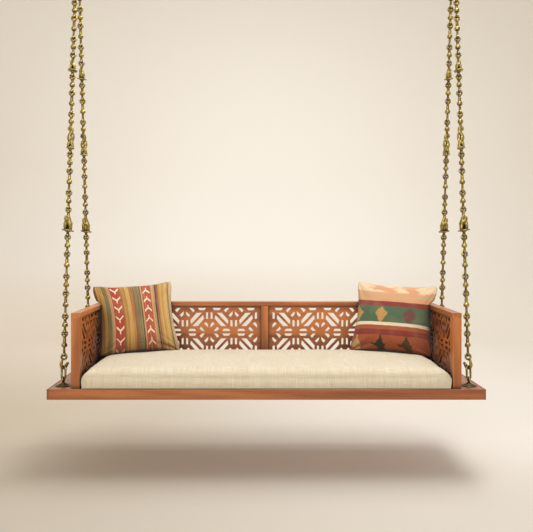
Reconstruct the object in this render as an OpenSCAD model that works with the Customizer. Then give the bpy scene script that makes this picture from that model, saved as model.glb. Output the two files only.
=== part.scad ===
// Porch swing seat: a hardwood platform with pierced lattice arms and back, hung at its four
// corners from brass figure chains, with a seat cushion and two corner pillows.
//
// Millimetres. X runs to the sitter's side, -Y is the open front, +Z is up. The origin is the
// middle of the platform's underside. Each pair of chains meets at one hanger under the ceiling.

/* [Platform] */
// Length of the platform, end to end
platform_w = 1830; // [1600:10:2100]
// Depth of the platform, front to back
platform_d = 610; // [580:5:680]
// Thickness of the platform
platform_t = 44; // [42:1:60]
// Width of the front and rear rails
rail_w = 50; // [46:1:60]
// Width of the end rails that carry the chains
end_rail_w = 90; // [84:1:96]
// Thickness of the lipping on each end
lipping_t = 8; // [4:1:12]
// Thickness of the deck boards
deck_t = 22; // [16:1:24]
// Gap between deck boards
deck_gap = 3; // [1:0.5:6]
// Width of the bearers under the deck
bearer_w = 70; // [50:1:90]
// Thickness of the bearers
bearer_t = 16; // [12:1:18]
// Distance of the outer bearers from the middle
bearer_x = 520; // [300:10:600]
// Chamfer along the edges of the rails and posts
arris = 1.5; // [0.5:0.5:3]

/* [Arms and back] */
// Distance from the platform's end to the outer face of the arm
arm_inset = 97; // [90:1:110]
// Width and depth of the posts
post_w = 38; // [34:1:44]
// Height of the arms and back over the platform
frame_h = 316; // [260:2:400]
// Distance from the platform's front edge to the front posts
front_setback = 15; // [10:1:30]
// Distance from the platform's rear edge to the back
rear_setback = 16; // [12:1:25]
// Height of the top rails
top_rail_h = 21; // [18:1:28]
// Height of the bottom rails
bottom_rail_h = 29; // [24:1:40]
// Width of the post in the middle of the back
centre_post_w = 35; // [30:1:44]

/* [Lattice] */
// Thickness of the pierced panels
lattice_t = 15; // [10:1:18]
// Depth of the panel's face behind the face of its frame
lattice_recess = 10; // [6:1:12]
// Plain border at the sides of a back panel
back_border = 15.5; // [8:0.5:24]
// Plain border at the sides of an arm panel
arm_border = 8; // [6:0.5:14]
// Plain border above and below the pattern
lattice_border_h = 5.5; // [3:0.5:12]

/* [Fasteners] */
// Diameter of the frame screws
screw_d = 5; // [4:0.5:6]
// Length of the frame screws
screw_l = 70; // [60:1:80]
// Diameter of the frame screws' heads
screw_head_d = 11; // [10:0.5:13]
// Depth of the counterbores for screw heads
counterbore_h = 7; // [6:0.5:10]
// Diameter of the deck screws
deck_screw_d = 4; // [3:0.5:5]
// Diameter of the dowels
dowel_d = 8; // [6:0.5:10]
// Length of the dowels
dowel_l = 30; // [24:1:32]

/* [Chain anchors] */
// Distance of the anchors from the platform's ends
anchor_inset = 49; // [46:1:52]
// Distance of the anchors from the platform's front and rear edges
anchor_setback = 75; // [70:1:105]
// Diameter of the eye plates
eye_plate_d = 66; // [58:1:74]
// Height of the eye plates
eye_plate_h = 10; // [8:0.5:12]
// Diameter of the eye bolts' shanks
eye_bolt_d = 10; // [8:0.5:11]
// Radius of the eye, to the middle of its wire
eye_r = 10; // [9:0.5:12]
// Diameter of the eye's wire
eye_wire_d = 7; // [6:0.5:8]
// Diameter of the recess for the nut under the platform
nut_recess_d = 30; // [28:1:36]
// Width of the nuts across corners
nut_d = 18.5; // [17:0.5:20]
// Thickness of the nuts
nut_h = 8; // [6:0.5:9]
// Thickness of the washers
washer_t = 2; // [1.5:0.5:3]

/* [Chains] */
// Height of the oval links
oval_h = 59; // [54:1:70]
// Width of the oval links, to the middle of the wire
oval_w = 18; // [17:0.5:20]
// Diameter of the oval links' wire
oval_wire_d = 6; // [5:0.5:7]
// Diameter of the hooks' bar
hook_bar_d = 9; // [8:0.5:10]
// Height from the bend of a hook to the middle of its ring
hook_h = 48; // [45:1:60]
// Radius of the hooks' bend, to the middle of the bar
hook_r = 13; // [11:0.5:15]
// Radius of the rings, to the middle of the wire
ring_r = 11; // [10.5:0.5:12.5]
// Diameter of the rings' wire
ring_wire_d = 7.6; // [6:0.2:7.8]
// Diameter of the balls
ball_d = 25; // [20:0.5:28]
// Width of the thick eyes at the ends of a link
lug_w = 10; // [6:0.5:10.5]
// Diameter of the links' stems
stem_d = 10; // [6:0.5:12]
// Distance between the rings at the ends of a long link
long_pitch = 98; // [88:1:110]
// Distance between the rings at the ends of a short link
short_pitch = 74; // [68:1:82]
// Distance between the rings at the ends of a bird link
bird_pitch = 122; // [114:1:130]
// Distance between the rings at the ends of a small bird link
small_bird_pitch = 102; // [98:1:112]
// Distance between the rings at the ends of a peacock link
peacock_pitch = 183; // [172:1:194]
// Diameter of the plates under the figures
figure_plate_d = 52; // [44:1:58]
// Thickness of the plates under the figures
figure_plate_t = 4; // [3:0.5:6]

/* [Hangers] */
// Radius of the top rings, to the middle of the wire
top_ring_r = 30; // [28:1:36]
// Diameter of the top rings' wire
top_ring_wire_d = 12; // [10:0.5:12.5]
// Radius of the hangers' eye, to the middle of the wire
hanger_eye_r = 13.5; // [13:0.5:15]
// Diameter of the wire of the hangers' eye
hanger_wire_d = 12; // [10:0.5:13]
// Diameter of the axle pins
axle_d = 16; // [12:0.5:18]
// Width of the hangers' hub, between the ears
hub_w = 28; // [22:1:34]
// Diameter of the hangers' hub
hub_d = 34; // [28:1:38]
// Thickness of the ears
ear_t = 8; // [6:0.5:12]
// Height from the axle to the underside of the ceiling plate
axle_drop = 34; // [28:1:44]
// Width and depth of the ceiling plates
ceiling_plate_w = 120; // [110:1:150]
// Thickness of the ceiling plates
ceiling_plate_t = 8; // [5:0.5:12]
// Spacing of the bolt holes in the ceiling plates
bolt_spacing = 90; // [80:1:96]
// Diameter of the bolt holes in the ceiling plates
bolt_hole_d = 11; // [8.5:0.5:13]

/* [Cushion and pillows] */
// Thickness of the seat cushion at its edges
cushion_h = 79; // [40:1:90]
// Extra thickness of the cushion in its middle
cushion_crown = 12; // [0:1:30]
// Radius of the cushion's upper edges
cushion_edge_r = 26; // [16:1:40]
// Gap between the cushion and each arm
cushion_side_gap = 3; // [2:0.5:15]
// Distance from the platform's front edge to the cushion
cushion_front_gap = 3; // [2:1:40]
// Gap between the cushion and the back
cushion_rear_gap = 3; // [2:0.5:15]
// Width of the pillows, corner to corner
pillow_w = 384; // [340:2:420]
// Height of the pillows, corner to corner
pillow_h = 340; // [320:2:400]
// Thickness of the pillows
pillow_t = 104; // [90:2:150]
// Turn of the pillows into their corners, in degrees
pillow_yaw = 22; // [15:1:35]
// Lean of the pillows, in degrees
pillow_lean = 21; // [10:1:26]
// Gap between the pillows and the arms and back
pillow_gap = 4; // [3.5:0.5:10]

/* [Hidden] */

$fn = 48;
wood = [0.62, 0.36, 0.21];
dark_wood = [0.52, 0.29, 0.17];
brass = [0.60, 0.50, 0.24];
dark_brass = [0.36, 0.31, 0.16];
steel = [0.60, 0.60, 0.62];
linen = [0.91, 0.85, 0.75];
left_weave = [0.72, 0.48, 0.22];
right_weave = [0.74, 0.46, 0.34];

// Clearance between metal pieces that bear on each other
gap = 0.3;
// Clearance of a screw or dowel in its hole, and of a bolt in its hole, on the radius
screw_gap = 0.1;
bolt_gap = 0.4;
// How far a cut runs past the face that it starts from
over = 1;
// Running clearance of the axle in the hub, on the radius, and of the hub between the ears
axle_gap = 0.05;
hub_side_gap = 0.4;

// Platform
half_w = platform_w / 2;
half_d = platform_d / 2;
rail_x = half_w - lipping_t;
end_rail_x = rail_x - end_rail_w;
rail_y = half_d - rail_w;
deck_z = platform_t - deck_t;
bearer_z = deck_z - bearer_t;
deck_count = 4;
deck_pitch = (2 * rail_y + deck_gap) / deck_count;
deck_board_w = deck_pitch - deck_gap;

// Arms and back
arm_outer = half_w - arm_inset;
arm_inner = arm_outer - post_w;
arm_x = (arm_outer + arm_inner) / 2;
front_post_y = -half_d + front_setback;
back_rear = half_d - rear_setback;
back_front = back_rear - post_w;
back_y = (back_rear + back_front) / 2;
front_screw_y = front_post_y + post_w / 2;
frame_top = platform_t + frame_h;
top_rail_z = frame_top - top_rail_h;
panel_z = platform_t + bottom_rail_h;
panel_h = top_rail_z - panel_z;
back_panel_w = arm_inner - centre_post_w / 2;
arm_panel_y = front_post_y + post_w;
arm_panel_w = back_front - arm_panel_y;

// Fasteners. The screws go up through the platform, long ones into the posts and short ones
// into the back's bottom rail. Each place is [x, y, length].
rail_screw_cover = 4;
rail_screw_l = panel_z - counterbore_h - rail_screw_cover;
rail_screw_xs = [for (t = [-0.72, -0.3, 0.3, 0.72]) t * arm_inner];
frame_screw_places = concat(
    [for (x = rail_screw_xs) [x, back_y, rail_screw_l]],
    [for (s = [-1, 1], y = [front_screw_y, back_y]) [s * arm_x, y, screw_l]]
);
screw_head_h = 3.5;
// How far a screw's shank starts inside its head
head_sink = 1;
head_gap = 0.5;
deck_screw_head_d = 2 * deck_screw_d;
deck_screw_head_h = 2.5;
deck_screw_l = bearer_t + deck_t * 0.7;
dowel_in_post = dowel_l * 0.6;
dowel_in_rail = dowel_l - dowel_in_post;
dowel_gap = 0.5;
// Each dowel crosses a joint between a rail and a post: [x, y, z of the joint, +1 if the rail is above]
dowel_places = concat(
    [[0, back_y, top_rail_z, 1], [0, back_y, panel_z, -1]],
    [for (s = [-1, 1], y = [front_screw_y, back_y]) [s * arm_x, y, top_rail_z, 1]]
);

// Anchors
anchor_x = half_w - anchor_inset;
anchor_y = half_d - anchor_setback;
eye_collar_h = 3;
eye_collar_d = eye_bolt_d + 7;
eye_sink = 1;
eye_wire_r = eye_wire_d / 2;
eye_z = platform_t + eye_plate_h + eye_collar_h + eye_r + eye_wire_r - eye_sink;
sway_z = eye_z + eye_r;
plate_screw_r = eye_plate_d * 0.41;
plate_screw_d = 3.6;
plate_screw_l = 18;
plate_screw_head_h = 1.4;
plate_base_h = eye_plate_h * 0.32;
nut_recess_spare = 3;
nut_recess_h = nut_h + washer_t + nut_recess_spare;
bolt_end_z = 2;

// Turns about the upright of the pieces that hang in each other, in degrees. Pieces that cross
// at nearly a right angle clear each other, and these leave the hook open to the front.
eye_turn = 4;
oval_turn = 16;
hook_turn = -50;

// Chain, as distances along its own line from the middle of the eye's top wire
oval_wire_r = oval_wire_d / 2;
oval_bend_r = oval_w / 2;
oval_low = -eye_wire_r - oval_wire_r - gap + oval_bend_r;
oval_high = oval_low + oval_h - oval_wire_d - oval_w;
hook_bend = oval_high + oval_bend_r - oval_wire_r - hook_bar_d / 2 - gap;
hook_ring = hook_bend + hook_h;
ring_wire_r = ring_wire_d / 2;
// The bore of a link's eye clears the ring that passes through it, which bends away to its sides
ring_in = ring_r - ring_wire_r;
ring_out = ring_r + ring_wire_r;
ring_dip = sqrt(ring_in * ring_in - lug_w * lug_w / 4);
lug_bore_r = (ring_out - ring_dip) / 2 + gap;
lug_off = (ring_out + ring_dip) / 2;
lug_r = lug_off - gap;
lug_chamfer = 1.5;
link_end = lug_off + lug_r;
// What hangs on the hook's ring, from the bottom up
chain_kinds = [
    "long", "short", "long", "short", "long", "short", "bird",
    "short", "long", "short", "peacock", "long", "short", "small bird",
    "short", "long", "short", "long", "small bird", "long"
];
function pitch_of(kind) = kind == "long" ? long_pitch
    : kind == "short" ? short_pitch
    : kind == "bird" ? bird_pitch
    : kind == "small bird" ? small_bird_pitch : peacock_pitch;
function chain_sum(i) = i == 0 ? hook_ring : chain_sum(i - 1) + pitch_of(chain_kinds[i - 1]);
chain_starts = [for (i = [0:len(chain_kinds)]) chain_sum(i)];
chain_end = chain_starts[len(chain_kinds)];

// The last link of each chain ends in a large eye on the top ring
last_pitch = 80;
last_eye_r = 13;
last_wire_r = 4;
top_ring_wire_r = top_ring_wire_d / 2;
last_eye = chain_end + last_pitch - last_eye_r;
chain_l = last_eye - last_wire_r - top_ring_wire_r - gap + last_eye_r;
// The two chains of a side sit at this angle on either side of the ring's lowest point
top_spread = 12;
top_y = top_ring_r * sin(top_spread);
lean = asin((anchor_y - top_y) / chain_l);
top_ring_z = sway_z + chain_l * cos(lean) + top_ring_r * cos(top_spread);
hang_z = top_ring_z + top_ring_r;
hanger_wire_r = hanger_wire_d / 2;
hub_sink = 4;
hanger_eye_z = hang_z + hanger_eye_r - hanger_wire_r - top_ring_wire_r - gap;
axle_z = hanger_eye_z + hanger_eye_r + hanger_wire_r + hub_d / 2 - hub_sink;
ceiling_z = axle_z + axle_drop;
ear_w = hub_d;
axle_head_h = 5;
axle_head_d = axle_d * 1.5;

// Cushion
cushion_hw = arm_inner - cushion_side_gap;
cushion_y0 = -half_d + cushion_front_gap;
cushion_y1 = back_front - cushion_rear_gap;
cushion_hd = (cushion_y1 - cushion_y0) / 2;
cushion_y = (cushion_y1 + cushion_y0) / 2;
cushion_z = platform_t + gap;
cushion_seam_z = 8;
cushion_draw = 3;
cushion_corner = 4;
cushion_corner_reach = 60;

echo(sway_axis_z = sway_z, top_sway_z = hang_z, axle_z = axle_z, lean = lean);
echo(ceiling_top = ceiling_z + ceiling_plate_t);

// ---------------------------------------------------------------- helpers

// Repeats its children on the right side as they are, or on the left side mirrored
module on_side(s) {
    if (s > 0) children();
    else mirror([1, 0, 0]) children();
}

// A box from low corner a to high corner b with chamfered edges along axis "x", "y" or "z"
module bar(a, b, axis) {
    d = b - a;
    u = axis == "x" ? d[1] : d[0];
    v = axis == "z" ? d[1] : d[2];
    l = axis == "x" ? d[0] : axis == "y" ? d[1] : d[2];
    translate(a)
        if (axis == "x")
            rotate([90, 0, 90]) linear_extrude(l) chamfered(u, v);
        else if (axis == "y")
            translate([0, l, 0]) rotate([90, 0, 0]) linear_extrude(l) chamfered(u, v);
        else
            linear_extrude(l) chamfered(u, v);
}

module chamfered(u, v) {
    c = arris;
    polygon([[c, 0], [u - c, 0], [u, c], [u, v - c], [u - c, v], [c, v], [0, v - c], [0, c]]);
}

// A round wire bent into part of a circle about the Z axis
module wire_arc(r, wire_r, turn = 360) {
    rotate_extrude(angle = turn, $fn = 64) translate([r, 0]) circle(wire_r, $fn = 32);
}

// A closed ring that stands in the XZ plane, turned about its own upright axis
module upright_ring(r, wire_r, turn = 0) {
    rotate([0, 0, turn]) rotate([90, 0, 0]) wire_arc(r, wire_r);
}

// A cylinder from point a to point b
module rod(a, b, r) {
    d = b - a;
    l = norm(d);
    translate(a) rotate([0, acos(d[2] / l), atan2(d[1], d[0])]) cylinder(r = r, h = l, $fn = 32);
}

// ---------------------------------------------------------------- platform

module rail_screw_holes() {
    for (p = frame_screw_places) translate([p[0], p[1], -over]) {
        cylinder(d = screw_d + 2 * screw_gap, h = platform_t + 2 * over);
        cylinder(d = screw_head_d + 2 * head_gap, h = counterbore_h + over);
    }
}

module long_rail(y0) {
    color(wood) difference() {
        bar([-rail_x, y0, 0], [rail_x, y0 + rail_w, platform_t], "x");
        rail_screw_holes();
    }
}

module front_rail() { long_rail(-half_d); }

module rear_rail() { long_rail(rail_y); }

module end_rail(s) {
    color(wood) on_side(s) difference() {
        bar([end_rail_x, -rail_y, 0], [rail_x, rail_y, platform_t], "y");
        for (y = [-anchor_y, anchor_y]) translate([anchor_x, y, -over]) {
            cylinder(r = eye_bolt_d / 2 + bolt_gap, h = platform_t + 2 * over);
            cylinder(d = nut_recess_d, h = nut_recess_h + over);
            for (a = [45:90:315]) rotate([0, 0, a])
                translate([plate_screw_r, 0, platform_t - plate_screw_l + over])
                    cylinder(r = plate_screw_d / 2 + screw_gap, h = plate_screw_l + over);
        }
    }
}

module lipping(s) {
    color(dark_wood) on_side(s)
        bar([rail_x, -half_d, 0], [half_w, half_d, platform_t], "y");
}

function deck_y(i) = -rail_y + (i - 1) * deck_pitch;
bearer_xs = [-bearer_x, 0, bearer_x];

module deck_board(i) {
    color(wood) difference() {
        bar([-end_rail_x, deck_y(i), deck_z], [end_rail_x, deck_y(i) + deck_board_w, platform_t], "x");
        for (x = bearer_xs) translate([x, deck_y(i) + deck_board_w / 2, deck_z - over])
            cylinder(r = deck_screw_d / 2 + screw_gap, h = deck_t * 0.75 + over);
    }
}

module bearer(x) {
    color(dark_wood) difference() {
        bar([x - bearer_w / 2, -rail_y, bearer_z], [x + bearer_w / 2, rail_y, deck_z], "y");
        for (i = [1:deck_count]) translate([x, deck_y(i) + deck_board_w / 2, bearer_z - over]) {
            cylinder(r = deck_screw_d / 2 + screw_gap, h = bearer_t + 2 * over);
            cylinder(d = deck_screw_head_d + 2 * head_gap, h = deck_screw_head_h + head_gap + over);
        }
    }
}

// ---------------------------------------------------------------- arms and back

// Holes for the frame's screws and dowels, cut from whatever they pass through
module frame_holes() {
    for (p = frame_screw_places) translate([p[0], p[1], platform_t - over])
        cylinder(d = screw_d + 2 * screw_gap, h = counterbore_h + p[2] - platform_t + 2 * over);
    for (p = dowel_places) translate([p[0], p[1], p[2]]) mirror([0, 0, p[3] > 0 ? 0 : 1])
        translate([0, 0, -dowel_in_post - dowel_gap])
            cylinder(d = dowel_d + 2 * screw_gap, h = dowel_l + 2 * dowel_gap);
}

module front_post(s) {
    color(wood) difference() {
        on_side(s)
            bar([arm_inner, front_post_y, platform_t], [arm_outer, front_post_y + post_w, top_rail_z], "z");
        frame_holes();
    }
}

module corner_post(s) {
    color(wood) difference() {
        on_side(s) bar([arm_inner, back_front, platform_t], [arm_outer, back_rear, top_rail_z], "z");
        frame_holes();
    }
}

module arm_top_rail(s) {
    color(wood) difference() {
        on_side(s) bar([arm_inner, front_post_y, top_rail_z], [arm_outer, back_rear, frame_top], "y");
        frame_holes();
    }
}

module arm_bottom_rail(s) {
    color(wood) on_side(s)
        bar([arm_inner, arm_panel_y, platform_t], [arm_outer, back_front, panel_z], "y");
}

module back_top_rail() {
    color(wood) difference() {
        bar([-arm_inner, back_front, top_rail_z], [arm_inner, back_rear, frame_top], "x");
        frame_holes();
    }
}

module back_bottom_rail() {
    color(wood) difference() {
        bar([-arm_inner, back_front, platform_t], [arm_inner, back_rear, panel_z], "x");
        frame_holes();
    }
}

module back_centre_post() {
    color(wood) difference() {
        bar([-centre_post_w / 2, back_front, panel_z], [centre_post_w / 2, back_rear, top_rail_z], "z");
        frame_holes();
    }
}

// The openings of the pattern in one quarter around a node, for a cell of this size
cell = [121.5, 127.5];
bar_slot = [[16, 5.5], [24, 18], [50, 18], [58, 5.5]];
upright_slot = [[6, 27], [16.5, 30], [16.5, 62], [6, 60]];
star_kite = [[5, 22], [6, 39], [17, 52], [27, 42]];
diagonal_slot = [[30, 40], [26.5, 60], [58, 97], [85.5, 98]];
function turned(shape) = [for (p = shape) [p[1] * cell[0] / cell[1], p[0] * cell[1] / cell[0]]];
function half_turned(shape) = [for (p = shape) [cell[0] - p[0], cell[1] - p[1]]];

module opening(shape, x, z, qx, qz, k) {
    polygon([for (p = shape) [x + qx * p[0] * k[0], z + qz * p[1] * k[1]]]);
}

// Crosses and stars take turns at the nodes of a grid; half ones lie along its edges
module lattice_openings(cols, rows, hx, hz) {
    k = [hx / cell[0], hz / cell[1]];
    for (i = [0:cols], j = [0:rows], qx = [-1, 1], qz = [-1, 1])
        if (i + qx >= 0 && i + qx <= cols && j + qz >= 0 && j + qz <= rows)
            if ((i + j) % 2 == 0) {
                opening(bar_slot, i * hx, j * hz, qx, qz, k);
                opening(upright_slot, i * hx, j * hz, qx, qz, k);
                if (qx == 1) {
                    opening(diagonal_slot, i * hx, j * hz, qx, qz, k);
                    opening(half_turned(diagonal_slot), i * hx, j * hz, qx, qz, k);
                }
            } else {
                opening(star_kite, i * hx, j * hz, qx, qz, k);
                opening(turned(star_kite), i * hx, j * hz, qx, qz, k);
            }
}

// A pierced panel in the XZ plane, its face at y = 0 and its thickness towards +Y
module lattice(w, cols, border) {
    rows = 2;
    hx = (w - 2 * border) / cols;
    hz = (panel_h - 2 * lattice_border_h) / rows;
    translate([0, lattice_t, 0]) rotate([90, 0, 0]) linear_extrude(lattice_t) difference() {
        square([w, panel_h]);
        translate([border, lattice_border_h]) lattice_openings(cols, rows, hx, hz);
    }
}

module back_lattice(s) {
    color(wood) on_side(s)
        translate([centre_post_w / 2, back_front + lattice_recess, panel_z])
            lattice(back_panel_w, 6, back_border);
}

module arm_lattice(s) {
    color(wood) on_side(s)
        translate([arm_inner + lattice_recess + lattice_t, arm_panel_y, panel_z])
            rotate([0, 0, 90]) lattice(arm_panel_w, 4, arm_border);
}

// ---------------------------------------------------------------- fasteners

module frame_screws() {
    color(steel) for (p = frame_screw_places) translate([p[0], p[1], counterbore_h]) {
        translate([0, 0, -screw_head_h]) cylinder(d = screw_head_d, h = screw_head_h);
        translate([0, 0, -head_sink]) cylinder(d = screw_d, h = p[2] + head_sink);
    }
}

module deck_screws() {
    color(steel) for (x = bearer_xs, i = [1:deck_count])
        translate([x, deck_y(i) + deck_board_w / 2, bearer_z + deck_screw_head_h + head_gap]) {
            translate([0, 0, -deck_screw_head_h]) cylinder(d = deck_screw_head_d, h = deck_screw_head_h);
            translate([0, 0, -head_sink]) cylinder(d = deck_screw_d, h = deck_screw_l - deck_screw_head_h);
        }
}

module dowels() {
    color(linen) for (p = dowel_places) translate([p[0], p[1], p[2]]) mirror([0, 0, p[3] > 0 ? 0 : 1])
        translate([0, 0, -dowel_in_post]) cylinder(d = dowel_d, h = dowel_l);
}

// ---------------------------------------------------------------- anchors

module at_anchors() {
    for (sx = [-1, 1], sy = [-1, 1]) translate([sx * anchor_x, sy * anchor_y, 0]) children();
}

module eye_plates() {
    r = eye_plate_d / 2;
    h = eye_plate_h;
    hole = eye_bolt_d / 2 + screw_gap;
    color(dark_brass) at_anchors() translate([0, 0, platform_t]) difference() {
        rotate_extrude(convexity = 4) polygon([
            [hole, 0], [r, 0], [r, plate_base_h * 0.6], [r * 0.955, plate_base_h],
            [r * 0.66, plate_base_h], [r * 0.62, h * 0.55], [r * 0.52, h * 0.72],
            [r * 0.4, h * 0.8], [r * 0.36, h], [hole, h]
        ]);
        for (a = [45:90:315]) rotate([0, 0, a]) translate([plate_screw_r, 0, -over])
            cylinder(r = plate_screw_d / 2 + screw_gap, h = eye_plate_h);
    }
}

module eye_plate_screws() {
    color(brass) at_anchors() for (a = [45:90:315]) rotate([0, 0, a])
        translate([plate_screw_r, 0, platform_t + plate_base_h]) {
            cylinder(d = plate_screw_d * 1.7, h = plate_screw_head_h);
            translate([0, 0, head_sink - plate_screw_l]) cylinder(d = plate_screw_d, h = plate_screw_l);
        }
}

module eye_bolts() {
    color(brass) at_anchors() {
        translate([0, 0, bolt_end_z])
            cylinder(d = eye_bolt_d, h = platform_t + eye_plate_h + eye_sink - bolt_end_z);
        translate([0, 0, platform_t + eye_plate_h]) cylinder(d = eye_collar_d, h = eye_collar_h);
    }
    color(brass) for (sx = [-1, 1], sy = [-1, 1]) translate([sx * anchor_x, sy * anchor_y, eye_z])
        upright_ring(eye_r, eye_wire_r, 90 - eye_turn * sx * sy);
}

module eye_washers() {
    color(steel) at_anchors() translate([0, 0, nut_recess_h - washer_t]) difference() {
        cylinder(d = nut_recess_d * 0.9, h = washer_t);
        translate([0, 0, -over]) cylinder(r = eye_bolt_d / 2 + bolt_gap, h = washer_t + 2 * over);
    }
}

module eye_nuts() {
    color(steel) at_anchors() translate([0, 0, nut_recess_h - washer_t - nut_h]) difference() {
        cylinder(d = nut_d, h = nut_h, $fn = 6);
        translate([0, 0, -over]) cylinder(r = eye_bolt_d / 2 + screw_gap, h = nut_h + 2 * over);
    }
}

// ---------------------------------------------------------------- chains

// Sets its children along the chain of side s (+1 right) and end e (+1 rear); Z runs up the chain
module on_chain(s, e) {
    on_side(s) mirror([0, e > 0 ? 1 : 0, 0])
        translate([anchor_x, -anchor_y, sway_z]) rotate([-lean, 0, 0]) children();
}

module oval_link() {
    rotate([0, 0, oval_turn]) {
        translate([0, 0, oval_high]) rotate([90, 0, 0]) wire_arc(oval_bend_r, oval_wire_r, 180);
        translate([0, 0, oval_low]) rotate([-90, 0, 0]) wire_arc(oval_bend_r, oval_wire_r, 180);
        for (x = [-oval_bend_r, oval_bend_r]) translate([x, 0, oval_low])
            cylinder(r = oval_wire_r, h = oval_high - oval_low, $fn = 32);
    }
}

module oval_links(s) {
    color(dark_brass) for (e = [-1, 1]) on_chain(s, e) oval_link();
}

// The hook's shank stands on the outside and its open tip points in, over the seat
module hook() {
    r = hook_bar_d / 2;
    centre = hook_bend + hook_r;
    knee = [hook_r, 0, centre + hook_h * 0.1];
    rotate([0, 0, hook_turn]) {
        translate([0, 0, centre]) rotate([-90, 0, 0]) wire_arc(hook_r, r, 180);
        rod([hook_r, 0, centre], knee, r);
        translate(knee) sphere(r = r * 1.08, $fn = 32);
        rod(knee, [ring_r * 0.7, 0, hook_ring - ring_r * 0.7], r);
        translate([-hook_r, 0, centre]) sphere(r = r * 1.08, $fn = 32);
        rod([-hook_r, 0, centre], [-hook_r * 1.45, 0, centre + hook_r * 0.55], r * 0.8);
        translate([-hook_r * 1.45, 0, centre + hook_r * 0.55]) sphere(r = r * 0.95, $fn = 32);
    }
    translate([0, 0, hook_ring]) upright_ring(ring_r, ring_wire_r);
}

module hooks(s) {
    color(brass) for (e = [-1, 1]) on_chain(s, e) hook();
}

module chain_rings(s, e) {
    color(brass) on_chain(s, e)
        for (i = [1:len(chain_kinds)]) translate([0, 0, chain_starts[i]])
            upright_ring(ring_r, ring_wire_r);
}

// How far a stem runs into its eyes, how deep the balls are cut and how much the stem thickens
stem_sink = 1;
bead_cut = 0.3;
sleeve_share = 1.35;

// A thick eye with its bore along X
module lug(z) {
    half = lug_w / 2;
    c = lug_chamfer;
    translate([0, 0, z]) rotate([0, 90, 0]) rotate_extrude($fn = 64) polygon([
        [lug_bore_r, -half], [lug_r - c, -half], [lug_r, c - half],
        [lug_r, half - c], [lug_r - c, half], [lug_bore_r, half]
    ]);
}

// A thick eye at each end, a stem between them
module link_core(pitch) {
    for (z = [lug_off, pitch - lug_off]) lug(z);
    translate([0, 0, link_end - stem_sink]) cylinder(d = stem_d, h = pitch - 2 * (link_end - stem_sink));
}

// A ball cut flat below
module bead(d, z) {
    translate([0, 0, z]) intersection() {
        sphere(d = d);
        translate([0, 0, -d * bead_cut]) cylinder(d = 2 * d, h = 2 * d);
    }
}

// The stem is thicker over the ball than under it
module ball_link(pitch) {
    link_core(pitch);
    bead(ball_d, pitch / 2);
    translate([0, 0, pitch / 2]) cylinder(d = stem_d * sleeve_share, h = pitch / 2 - link_end - gap);
}

module last_link() {
    low = link_end - stem_sink;
    high = last_pitch - last_eye_r;
    lug(lug_off);
    translate([0, 0, low]) cylinder(d = stem_d, h = high - last_eye_r - low);
    bead(ball_d * 0.8, (low + high - last_eye_r) / 2);
    translate([0, 0, high]) upright_ring(last_eye_r, last_wire_r, 0);
}

module ball_links(s, e) {
    color(brass) on_chain(s, e) {
        for (i = [0:len(chain_kinds) - 1])
            if (chain_kinds[i] == "long" || chain_kinds[i] == "short")
                translate([0, 0, chain_starts[i]]) ball_link(pitch_of(chain_kinds[i]));
        translate([0, 0, chain_end]) last_link();
    }
}

// A plate on the lower eye, and over it the height left for the figure
figure_lift = 8;
figure_z = link_end + figure_lift;
figure_base = figure_z + figure_plate_t;
figure_turn = 204;
peacock_plate_share = 0.7;

module figure_plate(d) {
    translate([0, 0, figure_z]) cylinder(d = d, h = figure_plate_t);
    translate([0, 0, figure_z - figure_lift * 0.75]) cylinder(d = figure_plate_d * 0.4, h = figure_lift);
}

// Two legs of this height on the plate, and a beak that points to one side and a little down
module legs(x, spread, r, h) {
    for (y = [-spread, spread]) translate([x, y, -figure_plate_t / 4]) cylinder(r = r, h = h);
}

module beak(place, r, l, dip) {
    translate(place) rotate([0, -90 - dip, 0]) cylinder(r1 = r, r2 = r / 7, h = l);
}

// A bird at rest on the plate, its head to one side and its tail down behind it
module bird_link(pitch) {
    h = pitch - link_end - figure_base;
    head = h * [-0.125, 0, 0.78];
    link_core(pitch);
    figure_plate(figure_plate_d * pitch / bird_pitch);
    translate([0, 0, figure_base]) rotate([0, 0, figure_turn]) {
        translate(h * [0.014, 0, 0.3]) sphere(r = h * 0.21);
        translate(h * [-0.042, 0, 0.52]) sphere(r = h * 0.15);
        rod(h * [-0.042, 0, 0.5], h * [-0.125, 0, 0.76], h * 0.08);
        translate(head) sphere(r = h * 0.11);
        beak(head, h * 0.08, h * 0.2, 15);
        rod(h * [0.056, 0, 0.36], h * [0.28, 0, 0.06], h * 0.07);
        legs(0, h * 0.11, h * 0.03, h * 0.3);
    }
}

// A taller bird with a curved neck and a raised tail
module peacock_link() {
    top = peacock_pitch - link_end;
    h = top - figure_base - ball_d;
    bend = h * [-0.077, 0, 0.68];
    head = h * [-0.048, 0, 0.9];
    tail = h * [0.135, 0, 0.8];
    link_core(peacock_pitch);
    figure_plate(figure_plate_d * peacock_plate_share);
    bead(ball_d, top - ball_d * 0.55);
    translate([0, 0, figure_base]) rotate([0, 0, figure_turn]) {
        translate(h * [0.02, 0, 0.22]) sphere(r = h * 0.15);
        translate(h * [-0.01, 0, 0.42]) sphere(r = h * 0.12);
        rod(h * [0, 0, 0.4], bend, h * 0.06);
        rod(bend, h * [-0.02, 0, 0.9], h * 0.05);
        translate(bend) sphere(r = h * 0.07);
        translate(head) sphere(r = h * 0.08);
        beak(head, h * 0.05, h * 0.14, 20);
        rod(h * [0.038, 0, 0.3], tail, h * 0.06);
        translate(tail) sphere(r = h * 0.07);
        legs(h * 0.02, h * 0.077, h * 0.023, h * 0.25);
    }
}

module figures(s, e) {
    color(brass) on_chain(s, e)
        for (i = [0:len(chain_kinds) - 1]) translate([0, 0, chain_starts[i]])
            if (chain_kinds[i] == "bird") bird_link(bird_pitch);
            else if (chain_kinds[i] == "small bird") bird_link(small_bird_pitch);
            else if (chain_kinds[i] == "peacock") peacock_link();
}

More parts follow.
